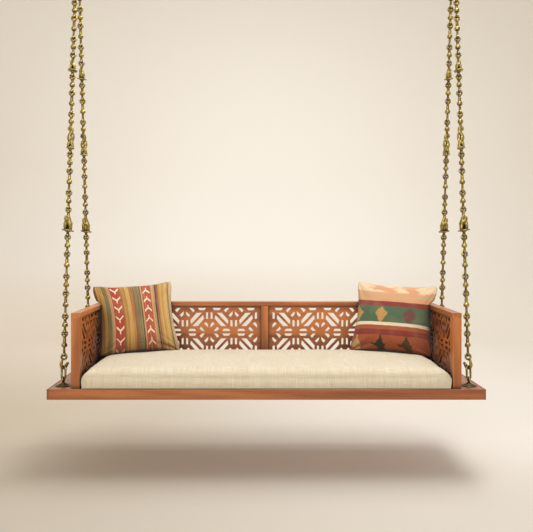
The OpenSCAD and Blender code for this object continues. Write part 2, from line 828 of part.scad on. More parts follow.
// ---------------------------------------------------------------- hangers

module at_hangers() {
    for (s = [-1, 1]) translate([s * anchor_x, 0, 0]) children();
}

module top_ring(s) {
    color(brass) translate([s * anchor_x, 0, top_ring_z])
        upright_ring(top_ring_r, top_ring_wire_r, 90);
}

module hangers() {
    color(dark_brass) at_hangers() difference() {
        union() {
            translate([0, 0, hanger_eye_z]) upright_ring(hanger_eye_r, hanger_wire_r, 0);
            translate([-hub_w / 2, 0, axle_z]) rotate([0, 90, 0]) cylinder(d = hub_d, h = hub_w);
        }
        translate([-hub_w / 2 - over, 0, axle_z]) rotate([0, 90, 0])
            cylinder(r = axle_d / 2 + axle_gap, h = hub_w + 2 * over);
    }
}

module axle_pins() {
    half = hub_w / 2 + hub_side_gap + ear_t;
    color(steel) at_hangers() translate([0, 0, axle_z]) rotate([0, 90, 0]) {
        translate([0, 0, -half - gap]) cylinder(d = axle_d, h = 2 * half + 2 * gap);
        for (z = [-half - gap - axle_head_h, half + gap]) translate([0, 0, z])
            cylinder(d = axle_head_d, h = axle_head_h);
    }
}

module ceiling_plates() {
    ear_x = hub_w / 2 + hub_side_gap;
    color(dark_brass) at_hangers() difference() {
        union() {
            translate([-ceiling_plate_w / 2, -ceiling_plate_w / 2, ceiling_z])
                cube([ceiling_plate_w, ceiling_plate_w, ceiling_plate_t]);
            for (x = [-ear_x - ear_t, ear_x]) {
                translate([x, -ear_w / 2, axle_z]) cube([ear_t, ear_w, axle_drop + over]);
                translate([x, 0, axle_z]) rotate([0, 90, 0]) cylinder(d = ear_w, h = ear_t);
            }
        }
        translate([-ceiling_plate_w, 0, axle_z]) rotate([0, 90, 0])
            cylinder(r = axle_d / 2 + axle_gap, h = 2 * ceiling_plate_w);
        for (x = [-0.5, 0.5], y = [-0.5, 0.5])
            translate([x * bolt_spacing, y * bolt_spacing, ceiling_z - over])
                cylinder(d = bolt_hole_d, h = ceiling_plate_t + 2 * over);
    }
}

// ---------------------------------------------------------------- cushion and pillows

// Rises from 0 at an edge to 1 at distance r from it, as a quarter circle
function shoulder(x, r) = x >= r ? 1 : sqrt(1 - pow(1 - max(x, 0) / r, 2));
function near(x, r) = pow(max(0, 1 - x / r), 2);

// Height of the cushion's top over its underside, at distances du and dv from its edges
function cushion_top(u, v) =
    let (du = (1 - abs(u)) * cushion_hw, dv = (1 - abs(v)) * cushion_hd)
    cushion_seam_z
    + (cushion_h - cushion_seam_z) * shoulder(du, cushion_edge_r) * shoulder(dv, cushion_edge_r)
    + cushion_crown * (1 - pow(u, 4)) * (1 - v * v);

function cushion_bottom(u, v) =
    let (du = (1 - abs(u)) * cushion_hw, dv = (1 - abs(v)) * cushion_hd)
    cushion_seam_z * (1 - shoulder(du, cushion_seam_z) * shoulder(dv, cushion_seam_z));

// The sides pull in between the corners, and the corners are rounded
function cushion_point(u, v, z) =
    let (
        c = cushion_corner * near((1 - abs(u)) * cushion_hw, cushion_corner_reach)
            * near((1 - abs(v)) * cushion_hd, cushion_corner_reach)
    )
    [
        u * cushion_hw - sign(u) * (cushion_draw * (1 - v * v) * u * u + c),
        cushion_y + v * cushion_hd - sign(v) * (cushion_draw * (1 - u * u) * v * v + c),
        cushion_z + z
    ];

// Grid lines from -1 to 1, close together near the edges of a side of half length h
function grid_lines(h, r, n) =
    let (edge = [for (t = [0, 0.08, 0.25, 0.55, 1]) -1 + t * r / h])
    concat(edge, [for (i = [1:n - 1]) edge[4] * (1 - 2 * i / n)], [for (i = [4:-1:0]) -edge[i]]);

// The faces of a pad with a top and a bottom grid of nu by nv points
function pad_faces(nu, nv) =
    let (n = nu * nv)
    concat(
        [for (i = [0:nu - 2], j = [0:nv - 2]) each let (a = i * nv + j)
            [[a, a + 1, a + nv], [a + 1, a + nv + 1, a + nv]]],
        [for (i = [0:nu - 2], j = [0:nv - 2]) each let (a = n + i * nv + j)
            [[a, a + nv, a + 1], [a + 1, a + nv, a + nv + 1]]],
        [for (i = [0:nu - 2]) each let (a = i * nv, b = i * nv + nv - 1)
            [[a, a + nv, a + n], [a + nv, a + nv + n, a + n],
             [b, b + n, b + nv], [b + nv, b + n, b + nv + n]]],
        [for (j = [0:nv - 2]) each let (a = j, b = (nu - 1) * nv + j)
            [[a, a + n, a + 1], [a + 1, a + n, a + n + 1],
             [b, b + 1, b + n], [b + 1, b + n + 1, b + n]]]
    );

module seat_cushion() {
    us = grid_lines(cushion_hw, cushion_edge_r, 10);
    vs = grid_lines(cushion_hd, cushion_edge_r, 6);
    // The two skins meet in a narrow welt
    welt = 0.6;
    color(linen) polyhedron(
        points = concat(
            [for (u = us, v = vs) cushion_point(u, v, cushion_top(u, v) + welt / 2)],
            [for (u = us, v = vs) cushion_point(u, v, max(0, cushion_bottom(u, v) - welt / 2))]
        ),
        faces = pad_faces(len(us), len(vs))
    );
}

// A pillow in the XZ plane: two crowned faces that meet in a seam with drawn-in sides
pillow_grid = [for (i = [-7:7]) sin(i * 90 / 7)];
pillow_draw = 0.06;
function pillow_swell(u, v) = pow(max(0, (1 - u * u) * (1 - v * v)), 0.42);
function pillow_point(u, v, face) = [
    u * pillow_w / 2 * (1 - pillow_draw * (1 - v * v)),
    face * (pillow_t / 2 * pillow_swell(u, v) + 0.4),
    v * pillow_h / 2 * (1 - pillow_draw * (1 - u * u))
];

// Leans the right-hand pillow's points back and turns them towards their corner
function leaned(p) =
    let (
        y = p[1] * cos(pillow_lean) + p[2] * sin(pillow_lean),
        z = p[2] * cos(pillow_lean) - p[1] * sin(pillow_lean)
    )
    [p[0] * cos(pillow_yaw) + y * sin(pillow_yaw), y * cos(pillow_yaw) - p[0] * sin(pillow_yaw), z];
function leaned_points(grid) =
    [for (face = [-1, 1], u = grid, v = grid) leaned(pillow_point(u, v, face))];
// Closer points, which find where the pillow first meets what it leans on
contact_points = leaned_points([for (i = [-24:24]) sin(i * 90 / 24)]);
// The pillow is pushed into its corner until what is below the rails' top is near the arm and the back
corner_top = frame_top - cushion_z - cushion_h + min([for (p = contact_points) p[2]]);
corner_points = [for (p = contact_points) if (p[2] < corner_top) p];
pillow_x = arm_inner - pillow_gap - max([for (p = corner_points) p[0]]);
pillow_y = back_front - pillow_gap - max([for (p = corner_points) p[1]]);
// It rests on the cushion where it first meets it
function clipped(t) = max(-1, min(1, t));
pillow_rise = gap - min([for (p = contact_points) p[2] - cushion_top(
    clipped((p[0] + pillow_x) / cushion_hw), clipped((p[1] + pillow_y - cushion_y) / cushion_hd))]);

module pillow(s, shade) {
    n = len(pillow_grid);
    color(shade) on_side(s) translate([pillow_x, pillow_y, cushion_z + pillow_rise])
        polyhedron(points = leaned_points(pillow_grid), faces = pad_faces(n, n));
}

// ---------------------------------------------------------------- assembly

front_rail();
rear_rail();
end_rail(-1);  // left_end_rail
end_rail(1);  // right_end_rail
lipping(-1);  // left_lipping
lipping(1);  // right_lipping
deck_board(1);  // deck_board_1
deck_board(2);  // deck_board_2
deck_board(3);  // deck_board_3
deck_board(4);  // deck_board_4
bearer(-bearer_x);  // left_bearer
bearer(0);  // centre_bearer
bearer(bearer_x);  // right_bearer
front_post(-1);  // left_front_post
front_post(1);  // right_front_post
corner_post(-1);  // left_corner_post
corner_post(1);  // right_corner_post
arm_top_rail(-1);  // left_arm_top_rail
arm_top_rail(1);  // right_arm_top_rail
arm_bottom_rail(-1);  // left_arm_bottom_rail
arm_bottom_rail(1);  // right_arm_bottom_rail
arm_lattice(-1);  // left_arm_lattice
arm_lattice(1);  // right_arm_lattice
back_top_rail();
back_bottom_rail();
back_centre_post();
back_lattice(-1);  // back_left_lattice
back_lattice(1);  // back_right_lattice
frame_screws();
deck_screws();
dowels();
eye_plates();
eye_plate_screws();
eye_bolts();
eye_washers();
eye_nuts();
oval_links(-1);  // left_oval_links
oval_links(1);  // right_oval_links
hooks(-1);  // left_hooks
hooks(1);  // right_hooks
chain_rings(-1, -1);  // left_front_rings
ball_links(-1, -1);  // left_front_ball_links
figures(-1, -1);  // left_front_figures
chain_rings(-1, 1);  // left_rear_rings
ball_links(-1, 1);  // left_rear_ball_links
figures(-1, 1);  // left_rear_figures
chain_rings(1, -1);  // right_front_rings
ball_links(1, -1);  // right_front_ball_links
figures(1, -1);  // right_front_figures
chain_rings(1, 1);  // right_rear_rings
ball_links(1, 1);  // right_rear_ball_links
figures(1, 1);  // right_rear_figures
top_ring(-1);  // left_top_ring
top_ring(1);  // right_top_ring
hangers();
axle_pins();
ceiling_plates();
seat_cushion();
pillow(-1, left_weave);  // left_pillow
pillow(1, right_weave);  // right_pillow
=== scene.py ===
"""Looks of the porch swing seat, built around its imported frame.

Metres. X runs to the sitter's side, -Y is the open front and +Z is up, as in the frame.
"""

import math

import bmesh
import bpy
import numpy as np
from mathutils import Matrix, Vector


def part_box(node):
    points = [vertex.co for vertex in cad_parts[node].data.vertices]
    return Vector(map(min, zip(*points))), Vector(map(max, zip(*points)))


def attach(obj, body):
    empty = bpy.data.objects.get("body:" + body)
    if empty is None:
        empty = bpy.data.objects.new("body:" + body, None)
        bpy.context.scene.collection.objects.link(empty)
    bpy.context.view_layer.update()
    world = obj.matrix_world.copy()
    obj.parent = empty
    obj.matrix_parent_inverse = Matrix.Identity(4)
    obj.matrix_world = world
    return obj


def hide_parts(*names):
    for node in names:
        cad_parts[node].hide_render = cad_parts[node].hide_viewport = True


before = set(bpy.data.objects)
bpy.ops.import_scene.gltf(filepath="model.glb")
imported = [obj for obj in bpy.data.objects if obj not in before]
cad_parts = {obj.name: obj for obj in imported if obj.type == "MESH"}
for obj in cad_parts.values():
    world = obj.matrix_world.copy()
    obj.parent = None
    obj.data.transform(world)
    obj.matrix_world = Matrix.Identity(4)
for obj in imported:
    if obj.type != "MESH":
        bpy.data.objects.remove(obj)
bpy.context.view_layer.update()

SIDES = {"left": -1, "right": 1}

# Faces of the construction that the soft pieces lean on: arms, back, open front, top of the arms
ARM_INNER = 0.780
BACK_FRONT = 0.251
PLATFORM_FRONT = -0.305
FRAME_TOP = 0.360
REST_GAP = 0.001

# Seat cushion: half of its plan, its place, its height and the rounding of its top edges
CUSHION_HALF = (0.777, 0.275)
CUSHION_Y = -0.027
CUSHION_BASE = 0.0443
CUSHION_H = 0.079
CUSHION_CROWN = 0.012
CUSHION_FRONT_R, CUSHION_END_R = 0.028, 0.046
# Height of its seam, width of the rim that has close mesh lines, half the length of its flat top
CUSHION_SEAM = 0.004
CUSHION_ZONE = 0.070
CUSHION_FLAT = 0.732
WELT_R = 0.0012

# Pillows: width, thickness and height, and how far the plain solid's edges are drawn in
PILLOW_SIZE = (0.384, 0.104, 0.340)
PILLOW_DRAW = 0.06
# The same for the dressed pillow, by edge, and the fullness of its swell
SIDE_DRAW, TOP_DRAW, FOOT_DRAW = 0.11, 0.12, 0.01
PILLOW_FULL = 0.5
PILLOW_SEAM_R = 0.0016
PILLOW_YAW = math.radians(22)
PILLOW_LEAN = math.radians(21)
PILLOW_ROLL = math.radians(2.5)
PILLOW_PUSH = (0.026, 0.018, 0.0)
# The half thickness of the plain solid's edge, how blunt a cover's ears are, how far its foot sinks
SOLID_EDGE = 0.0004
EAR_BLUNT = 0.012
FOOT_SINK = 0.030
# Softness of the flattening against arm and back, and how far a pillow bulges over their rails
PRESS_SOFT = 0.005
RAIL_BULGE = 0.06

# Chains: the eye on the platform, the lean, and the links from the hook upwards
ANCHOR = (0.866, 0.230, 0.0795)
CHAIN_LEAN = math.radians(6.2939)
HOOK_RING = 0.0864
PITCH = {"long": 0.098, "short": 0.074, "bird": 0.122, "small bird": 0.102, "peacock": 0.183}
CHAIN = (
    ["long", "short"] * 3 + ["bird", "short", "long", "short", "peacock", "long", "short", "small bird"]
    + ["short", "long", "short", "long", "small bird", "long"]
)
# In millimetres: the eyes at both ends of a link, the figures' plates and the height of their tops
LUG_OFF, LUG_R, LUG_BORE, LUG_HALF = 9.99, 9.69, 5.1, 5.6
PLATE_R = {"bird": 26.0, "small bird": 21.7, "peacock": 18.2}
PLATE_TOP = 31.7
PLATE_SLOPE = 0.13

# Studio: height of the floor, radius of its flat part, radius of the curve up, height of the wall
FLOOR_Z = -0.356
FLOOR_R = 4.4
COVE_R = 2.0
WALL_H = 7.0


# ---------------------------------------------------------------- material helpers


class Shader:
    """A node material put together from values and sockets."""

    def __init__(self, name):
        self.material = bpy.data.materials.new(name)
        self.material.use_nodes = True
        self.tree = self.material.node_tree
        self.tree.nodes.clear()
        self.bsdf = self.node("BsdfPrincipled")
        self.node("OutputMaterial", {"Surface": self.bsdf.outputs[0]})

    def node(self, kind, inputs=None, **settings):
        made = self.tree.nodes.new("ShaderNode" + kind)
        for key, value in settings.items():
            setattr(made, key, value)
        for key, value in (inputs or {}).items():
            self.put(made.inputs[key], value)
        return made

    def put(self, socket, value):
        if isinstance(value, bpy.types.NodeSocket):
            self.tree.links.new(value, socket)
        else:
            socket.default_value = value

    def coords(self):
        return self.node("TexCoord").outputs["Object"]

    def cloth(self):
        """The place on the cloth, in metres, from the mesh's "cloth" attribute."""
        return self.node("Attribute", attribute_name="cloth").outputs["Vector"]

    def stretched(self, vector, scale, location=(0, 0, 0)):
        return self.node("Mapping", {"Vector": vector, "Scale": scale, "Location": location}).outputs[0]

    def noise(self, vector, scale=1.0, detail=2.0, roughness=0.5, distortion=0.0):
        inputs = {"Vector": vector, "Scale": scale, "Detail": detail}
        inputs |= {"Roughness": roughness, "Distortion": distortion}
        return self.node("TexNoise", inputs).outputs[0]

    def cloth_noise(self, per_u, per_v, detail=2.0, roughness=0.5):
        """Noise with so many blots per metre across and up the cloth."""
        return self.noise(self.stretched(self.cloth(), (per_u, per_v, 7)), 1.0, detail, roughness)

    def math(self, operation, *values, clamp=False):
        return self.node("Math", dict(enumerate(values)), operation=operation, use_clamp=clamp).outputs[0]

    def add(self, *values):
        total = values[0]
        for value in values[1:]:
            total = self.math("ADD", total, value)
        return total

    def times(self, *values):
        product = values[0]
        for value in values[1:]:
            product = self.math("MULTIPLY", product, value)
        return product

    def apart(self, a, b):
        """The distance between two numbers."""
        return self.math("ABSOLUTE", self.math("SUBTRACT", a, b))

    def remap(self, value, low, high, to_low=0.0, to_high=1.0):
        """A smooth step: to_low where the value is low, to_high where it is high."""
        inputs = {"Value": value, "From Min": low, "From Max": high, "To Min": to_low, "To Max": to_high}
        return self.node("MapRange", inputs, interpolation_type="SMOOTHSTEP").outputs[0]

    def mix(self, factor, a, b, blend="MIX"):
        return self.node(
            "Mix", {0: factor, 6: rgba(a), 7: rgba(b)}, data_type="RGBA", blend_type=blend
        ).outputs[2]

    def bands(self, value, stops):
        """Colours in steps along a value from 0 to 1; stops are (start, colour)."""
        ramp = self.node("ValToRGB", {0: value})
        ramp.color_ramp.interpolation = "CONSTANT"
        elements = ramp.color_ramp.elements
        for i, (place, colour) in enumerate(stops):
            e = elements[i] if i < 2 else elements.new(place)
            e.position, e.color = place, rgba(colour)
        return ramp.outputs[0]

    def split(self, vector):
        return self.node("SeparateXYZ", {0: vector}).outputs[:]

    def bump(self, height, strength, distance):
        return self.node("Bump", {"Height": height, "Strength": strength, "Distance": distance}).outputs[0]

    def painted_hollow_shade(self, reach, amount):
        """How deep a place lies between its neighbours, as painted shade: darker where ambient occlusion
        finds hollows and nearby parts.
        """
        open_sky = self.node("AmbientOcclusion", {"Distance": reach}, samples=8).outputs["AO"]
        return self.math("MULTIPLY", self.math("SUBTRACT", 1.0, open_sky), amount, clamp=True)

    def surface(self, **inputs):
        for key, value in inputs.items():
            self.put(self.bsdf.inputs[key.replace("_", " ")], value)
        return self.material


def rgba(colour):
    """A colour given as sRGB 0 to 255 becomes linear; a socket passes."""
    if isinstance(colour, bpy.types.NodeSocket):
        return colour
    return (*[((c / 255 + 0.055) / 1.055) ** 2.4 if c > 10 else c / 3294 for c in colour], 1.0)


# ---------------------------------------------------------------- wood


# Tones of red streaks and pores in the grain; the crevice and deep colours are painted shade
REDDISH, PORE, CREVICE_SHADE, DEEP_SHADE = (150, 76, 42), (70, 36, 18), (46, 20, 8), (56, 24, 10)


def wood(name, along, light, dark, seed, way=1):
    """Oiled hardwood with its grain along one axis ("x", "y" or "z"); way -1 turns it end for end."""
    s = Shader(name)
    axis = "xyz".index(along)
    shift = (seed * 0.37, seed * 0.73, seed * 0.51)

    def grain(lengthwise, across):
        scale = [across] * 3
        scale[axis] = way * lengthwise
        return s.stretched(s.coords(), scale, shift)

    broad = s.noise(grain(0.9, 9), 1.0, 2.0, 0.5, 0.6)
    rings = s.math("SINE", s.times(s.noise(grain(0.7, 12), 1.0, 1.0, 0.4, 0.3), 34.0))
    fine = s.noise(grain(5, 190), 1.0, 4.0, 0.65)
    pores = s.remap(s.noise(grain(16, 620), 1.0, 2.0, 0.6), 0.60, 0.74)
    streaks = s.add(s.times(rings, 0.10), s.times(fine, 0.55))
    tone = s.add(s.times(s.remap(broad, 0.3, 0.7), 0.45), streaks)
    colour = s.mix(s.remap(tone, 0.15, 0.85), dark, light)
    red = s.mix(s.remap(s.noise(grain(1.4, 26), 1.0, 2.0), 0.45, 0.75), colour, REDDISH)
    colour = s.mix(0.35, colour, red)
    colour = s.mix(s.times(pores, 0.45), colour, PORE)
    # Painted shade: dark in the crevices of the lattice and joints, and deep shade in wide hollows such as
    # near the pillows
    colour = s.mix(s.painted_hollow_shade(0.016, 1.1), colour, CREVICE_SHADE)
    colour = s.mix(s.painted_hollow_shade(0.15, 1.1), colour, DEEP_SHADE)
    height = s.math("SUBTRACT", s.times(fine, 0.4), s.times(pores, 0.6))
    return s.surface(
        Base_Color=colour,
        Roughness=s.remap(fine, 0.2, 0.8, 0.36, 0.52),
        Normal=s.bump(height, 0.35, 0.0004),
        Coat_Weight=0.3,
        Coat_Roughness=0.2,
    )


# Light and dark of the grain, by kind of piece
RAIL, FRONT = ((206, 126, 62), (150, 82, 36)), ((186, 112, 60), (132, 70, 34))
EDGE, LATTICE = ((158, 88, 46), (112, 58, 30)), ((206, 122, 58), (134, 68, 30))

# The way that each piece's grain runs, and its tones
wood_of = {
    "front_rail": ("x", FRONT),
    "rear_rail": ("x", RAIL),
    "back_top_rail": ("x", RAIL),
    "back_bottom_rail": ("x", RAIL),
    "back_centre_post": ("z", RAIL),
    "centre_bearer": ("y", EDGE),
    "back_left_lattice": ("x", LATTICE),
    "back_right_lattice": ("x", LATTICE),
}
for i in range(1, 5):
    wood_of[f"deck_board_{i}"] = ("x", RAIL)
for side in SIDES:
    wood_of[f"{side}_end_rail"] = ("y", RAIL)
    wood_of[f"{side}_lipping"] = ("y", EDGE)
    wood_of[f"{side}_bearer"] = ("y", EDGE)
    wood_of[f"{side}_front_post"] = ("z", RAIL)
    wood_of[f"{side}_corner_post"] = ("z", RAIL)
    wood_of[f"{side}_arm_top_rail"] = ("y", RAIL)
    wood_of[f"{side}_arm_bottom_rail"] = ("y", RAIL)
    wood_of[f"{side}_arm_lattice"] = ("y", LATTICE)


# ---------------------------------------------------------------- metal and dowels


# Distances from a chain's middle line: what is nearer than the first is a thin stem, which gets painted
# shade
STEM_R, BULGE_R = 0.0054, 0.0078


def off_axis(s):
    """How far a place on any of the four chains lies from that chain's middle line."""
    x, y, z = s.split(s.coords())
    out = s.math("SUBTRACT", s.math("ABSOLUTE", x), ANCHOR[0])
    run = s.times(s.math("SUBTRACT", z, ANCHOR[2]), math.tan(CHAIN_LEAN))
    deep = s.math("SUBTRACT", s.add(s.math("ABSOLUTE", y), run), ANCHOR[1])
    return s.math("SQRT", s.add(s.times(out, out), s.times(deep, deep)))


def cast_brass(name, light, mid, dark, roughness, hollow_dirt_and_shade):
    """Old cast brass: rubbed bright in patches, dark with patina and painted shade in the hollows, and
    painted shade on the thin stems.
    """
    s = Shader(name)
    coords = s.coords()
    patches = s.noise(coords, 70.0, 4.0, 0.6)
    stain = s.noise(coords, 210.0, 3.0, 0.6)
    worn = s.mix(s.remap(patches, 0.38, 0.66), mid, light)
    stained = s.times(s.remap(stain, 0.45, 0.75), 0.5)
    # Stains, plus patina and painted shade in the hollows; the thin stems get painted shade too
    dirt_and_shade = s.math("ADD", s.painted_hollow_shade(0.016, hollow_dirt_and_shade), stained, clamp=True)
    dirt_and_shade = s.math("MAXIMUM", dirt_and_shade, s.remap(off_axis(s), STEM_R, BULGE_R, 0.5, 0.0))
    return s.surface(
        Base_Color=s.mix(dirt_and_shade, worn, dark),
        Metallic=s.remap(dirt_and_shade, 0.2, 0.9, 0.92, 0.25),
        Roughness=s.remap(dirt_and_shade, 0.0, 0.8, roughness, roughness + 0.3),
        Normal=s.bump(s.noise(coords, 420.0, 3.0, 0.6), 0.5, 0.0006),
    )


def steel(name):
    s = Shader(name)
    grain = s.noise(s.stretched(s.coords(), (900, 900, 60)), 1.0, 2.0)
    return s.surface(
        Base_Color=s.mix(grain, (150, 150, 152), (188, 188, 190)),
        Metallic=1.0,
        Roughness=s.remap(grain, 0.2, 0.8, 0.28, 0.45),
        Normal=s.bump(grain, 0.2, 0.0002),
    )


def dowel_wood(name):
    s = Shader(name)
    grain = s.noise(s.stretched(s.coords(), (500, 500, 20)), 1.0, 3.0)
    return s.surface(
        Base_Color=s.mix(grain, (186, 148, 98), (222, 190, 142)),
        Roughness=0.6,
        Normal=s.bump(grain, 0.3, 0.0003),
    )


aged = cast_brass("aged_brass", (206, 182, 108), (146, 126, 68), (40, 31, 16), 0.30, 2.3)
dark_cast = cast_brass("dark_brass", (146, 132, 82), (82, 74, 46), (18, 15, 10), 0.32, 2.0)
bright_steel = steel("steel")
metal_of = {
    "eye_plates": dark_cast,
    "hangers": dark_cast,
    "ceiling_plates": dark_cast,
    "frame_screws": bright_steel,
    "deck_screws": bright_steel,
    "eye_washers": bright_steel,
    "eye_nuts": bright_steel,
    "axle_pins": bright_steel,
    "dowels": dowel_wood("dowel_wood"),
}

for seed, (node, obj) in enumerate(sorted(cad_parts.items())):
    if node in wood_of:
        along, tones = wood_of[node]
        material = wood("wood_" + node, along, *tones, seed, -1 if node == "front_rail" else 1)
    else:
        material = metal_of.get(node, aged)
    obj.data.materials.clear()
    obj.data.materials.append(material)


# ---------------------------------------------------------------- fabrics


LINEN_DARK, LINEN_LIGHT = (198, 182, 152), (230, 220, 198)
SLUB, LINEN_WORN = (234, 226, 206), (200, 184, 148)
WARP_PITCH, WEFT_PITCH = 0.0016, 0.0018


def linen(name):
    """Plain-woven linen with thick places in its yarns."""
    s = Shader(name)
    warp = s.cloth_noise(520, 14, 2.0, 0.6)
    weft = s.cloth_noise(16, 430, 2.0, 0.6)
    streak = s.cloth_noise(150, 5, 3.0, 0.6)
    slub = s.remap(s.cloth_noise(240, 9, 2.0, 0.6), 0.58, 0.78)
    broad = s.remap(s.cloth_noise(6, 5, 2.0, 0.6), 0.35, 0.7)
    tone = s.add(s.times(warp, 0.42), s.times(weft, 0.42), s.times(streak, 0.16))
    colour = s.mix(s.remap(tone, 0.30, 0.70), LINEN_DARK, LINEN_LIGHT)
    colour = s.mix(s.times(slub, 0.25), colour, SLUB)
    colour = s.mix(s.times(broad, 0.25), colour, LINEN_WORN)
    u, v, _ = s.split(s.cloth())
    over = s.math("SINE", s.times(u, 2 * math.pi / WARP_PITCH))
    under = s.math("SINE", s.times(v, 2 * math.pi / WEFT_PITCH))
    weave = s.add(s.times(over, under), s.add(warp, s.times(slub, 1.4)))
    return s.surface(
        Base_Color=colour,
        Roughness=0.9,
        Sheen_Weight=0.25,
        Sheen_Roughness=0.5,
        Specular_IOR_Level=0.2,
        Normal=s.bump(weave, 0.45, 0.0005),
    )


RIB_PITCH = 0.0022
THREAD_DARK, THREAD_WORN, FOLD_SHADE = (92, 62, 34), (226, 196, 150), (46, 26, 14)


def wobbled(s, value, amount):
    """The value, moved by the small irregularities of hand weaving."""
    drift = s.cloth_noise(26, 26, 3.0, 0.6)
    return s.add(value, s.times(s.math("SUBTRACT", drift, 0.5), amount))


def stepped(s, value, step):
    return s.times(s.math("ROUND", s.math("DIVIDE", value, step)), step)


def kilim(s, colour, along, picks):
    """A flat-woven rug in the given colour; along is the place across its ribs, picks its threads."""
    ribs = s.math("SINE", s.times(along, 2 * math.pi / RIB_PITCH))
    worn = s.cloth_noise(11, 11, 3.0)
    colour = s.mix(s.remap(picks, 0.3, 0.75, 0.0, 0.35), colour, THREAD_DARK, "MULTIPLY")
    colour = s.mix(s.remap(worn, 0.45, 0.75, 0.0, 0.10), colour, THREAD_WORN)
    # Painted shade in the folds and where the pillow lies close to the arm, the back and the cushion
    colour = s.mix(s.painted_hollow_shade(0.12, 1.25), colour, FOLD_SHADE)
    return s.surface(
        Base_Color=colour,
        Roughness=0.92,
        Sheen_Weight=0.2,
        Specular_IOR_Level=0.15,
        Normal=s.bump(s.add(s.times(ribs, 0.5), picks), 0.5, 0.0008),
    )


MUSTARD, GOLD, OLIVE, TAN = (188, 140, 68), (206, 164, 92), (120, 110, 74), (200, 156, 112)
RED, CREAM, DARK = (176, 70, 56), (244, 228, 198), (84, 64, 56)
YARN_DARK, YARN_LIGHT, YARN_PALE, RED_FLECK = (84, 62, 34), (222, 178, 104), (222, 190, 128), (214, 122, 96)
STRIPES = [
    (0.00, (120, 56, 52)), (0.02, MUSTARD), (0.045, (156, 108, 60)), (0.055, MUSTARD), (0.095, OLIVE),
    (0.15, TAN), (0.187, RED), (0.31, OLIVE), (0.32, MUSTARD), (0.35, (176, 122, 66)),
    (0.37, TAN), (0.38, GOLD), (0.415, (180, 120, 64)), (0.445, (158, 92, 72)), (0.470, OLIVE),
    (0.535, (150, 134, 90)), (0.545, DARK), (0.560, TAN), (0.580, RED), (0.697, TAN),
    (0.725, (176, 150, 104)), (0.745, DARK), (0.765, (150, 84, 70)), (0.795, MUSTARD), (0.815, GOLD),
    (0.84, (190, 140, 76)), (0.86, GOLD), (0.885, (214, 178, 118)), (0.90, GOLD), (0.925, OLIVE),
    (0.945, (196, 176, 128)), (0.965, (226, 186, 158)),
]
# Middle and half width of the two chevron bands, as shares of the width, and the way they point
CHEVRONS_DOWN, CHEVRONS_UP = (0.2485, 0.0615, 1), (0.6385, 0.0585, -1)
CHEVRON_PITCH = PILLOW_SIZE[2] / 6.7
CHEVRON_RISE = 0.95


def chevrons(s, t, v, colour, centre, half, way):
    """A red band with cream chevrons stacked up it, over the given colour."""
    across = s.apart(t, centre)
    rise = s.times(across, way * -CHEVRON_RISE * PILLOW_SIZE[0])
    place = s.add(stepped(s, s.add(v, rise), 0.0026), 0.5)
    phase = s.math("FRACT", s.math("DIVIDE", place, CHEVRON_PITCH))
    arm = s.math("LESS_THAN", s.apart(phase, 0.5), 0.095)
    tip = s.math("LESS_THAN", s.apart(phase, 0.5 - 0.19 * way), 0.10)
    mark = s.math("MAXIMUM", arm, s.times(tip, s.math("LESS_THAN", across, 0.007)))
    fleck = s.remap(s.cloth_noise(210, 330), 0.50, 0.62)
    inside = s.math("LESS_THAN", across, half)
    colour = s.mix(s.times(inside, fleck, 0.4), colour, RED_FLECK)
    return s.mix(s.times(mark, s.math("LESS_THAN", across, half * 0.80)), colour, CREAM)


def striped_kilim(name):
    """Stripes across the pillow's width, with two bands of stacked chevrons."""
    s = Shader(name)
    u, v, _ = s.split(s.cloth())
    t = wobbled(s, s.add(s.math("DIVIDE", u, PILLOW_SIZE[0]), 0.5), 0.012)
    colour = s.bands(t, STRIPES)
    yarns = s.noise(s.stretched(s.cloth(), (260, 1.5, 1)), 1.0, 2.0, 0.6)
    colour = s.mix(s.remap(yarns, 0.54, 0.70, 0.0, 0.45), colour, YARN_DARK)
    colour = s.mix(s.remap(yarns, 0.46, 0.32, 0.0, 0.40), colour, YARN_LIGHT)
    for band in (CHEVRONS_DOWN, CHEVRONS_UP):
        colour = chevrons(s, t, v, colour, *band)
    centre, half, _ = CHEVRONS_DOWN
    outside = s.math("SUBTRACT", 1.0, s.math("LESS_THAN", s.apart(t, centre), half))
    pale = s.remap(s.cloth_noise(420, 3, 2.0, 0.7), 0.52, 0.66, 0.0, 0.45)
    colour = s.mix(s.times(pale, outside), colour, YARN_PALE)
    return kilim(s, colour, u, s.cloth_noise(150, 700, 2.0, 0.6))


PEACH, TERRACOTTA, GREEN, SAGE = (226, 168, 126), (176, 94, 60), (88, 112, 84), (200, 180, 140)
WINE, OCHRE, MAROON, IVORY = (144, 68, 60), (206, 158, 96), (118, 78, 70), (244, 224, 186)
GREEN_FROM, GREEN_TO = 0.390, 0.622
BANDS = [
    (0.0, TERRACOTTA), (0.215, WINE), (0.290, TERRACOTTA), (0.344, CREAM), (GREEN_FROM, GREEN),
    (GREEN_TO, WINE), (0.700, PEACH), (0.780, SAGE), (0.812, PEACH),
]
# Places across the pillow: the stepped medallions of the green band, and the motifs of the low row
OCHRE_AT, MAROON_AT = (-0.054, -0.184), 0.089
LOW_MOTIFS = ((-0.166, (214, 170, 112)), (-0.045, (52, 60, 44)), (0.080, (92, 66, 42)))
LOW_ROW = (0.10 - 0.5) * PILLOW_SIZE[2]


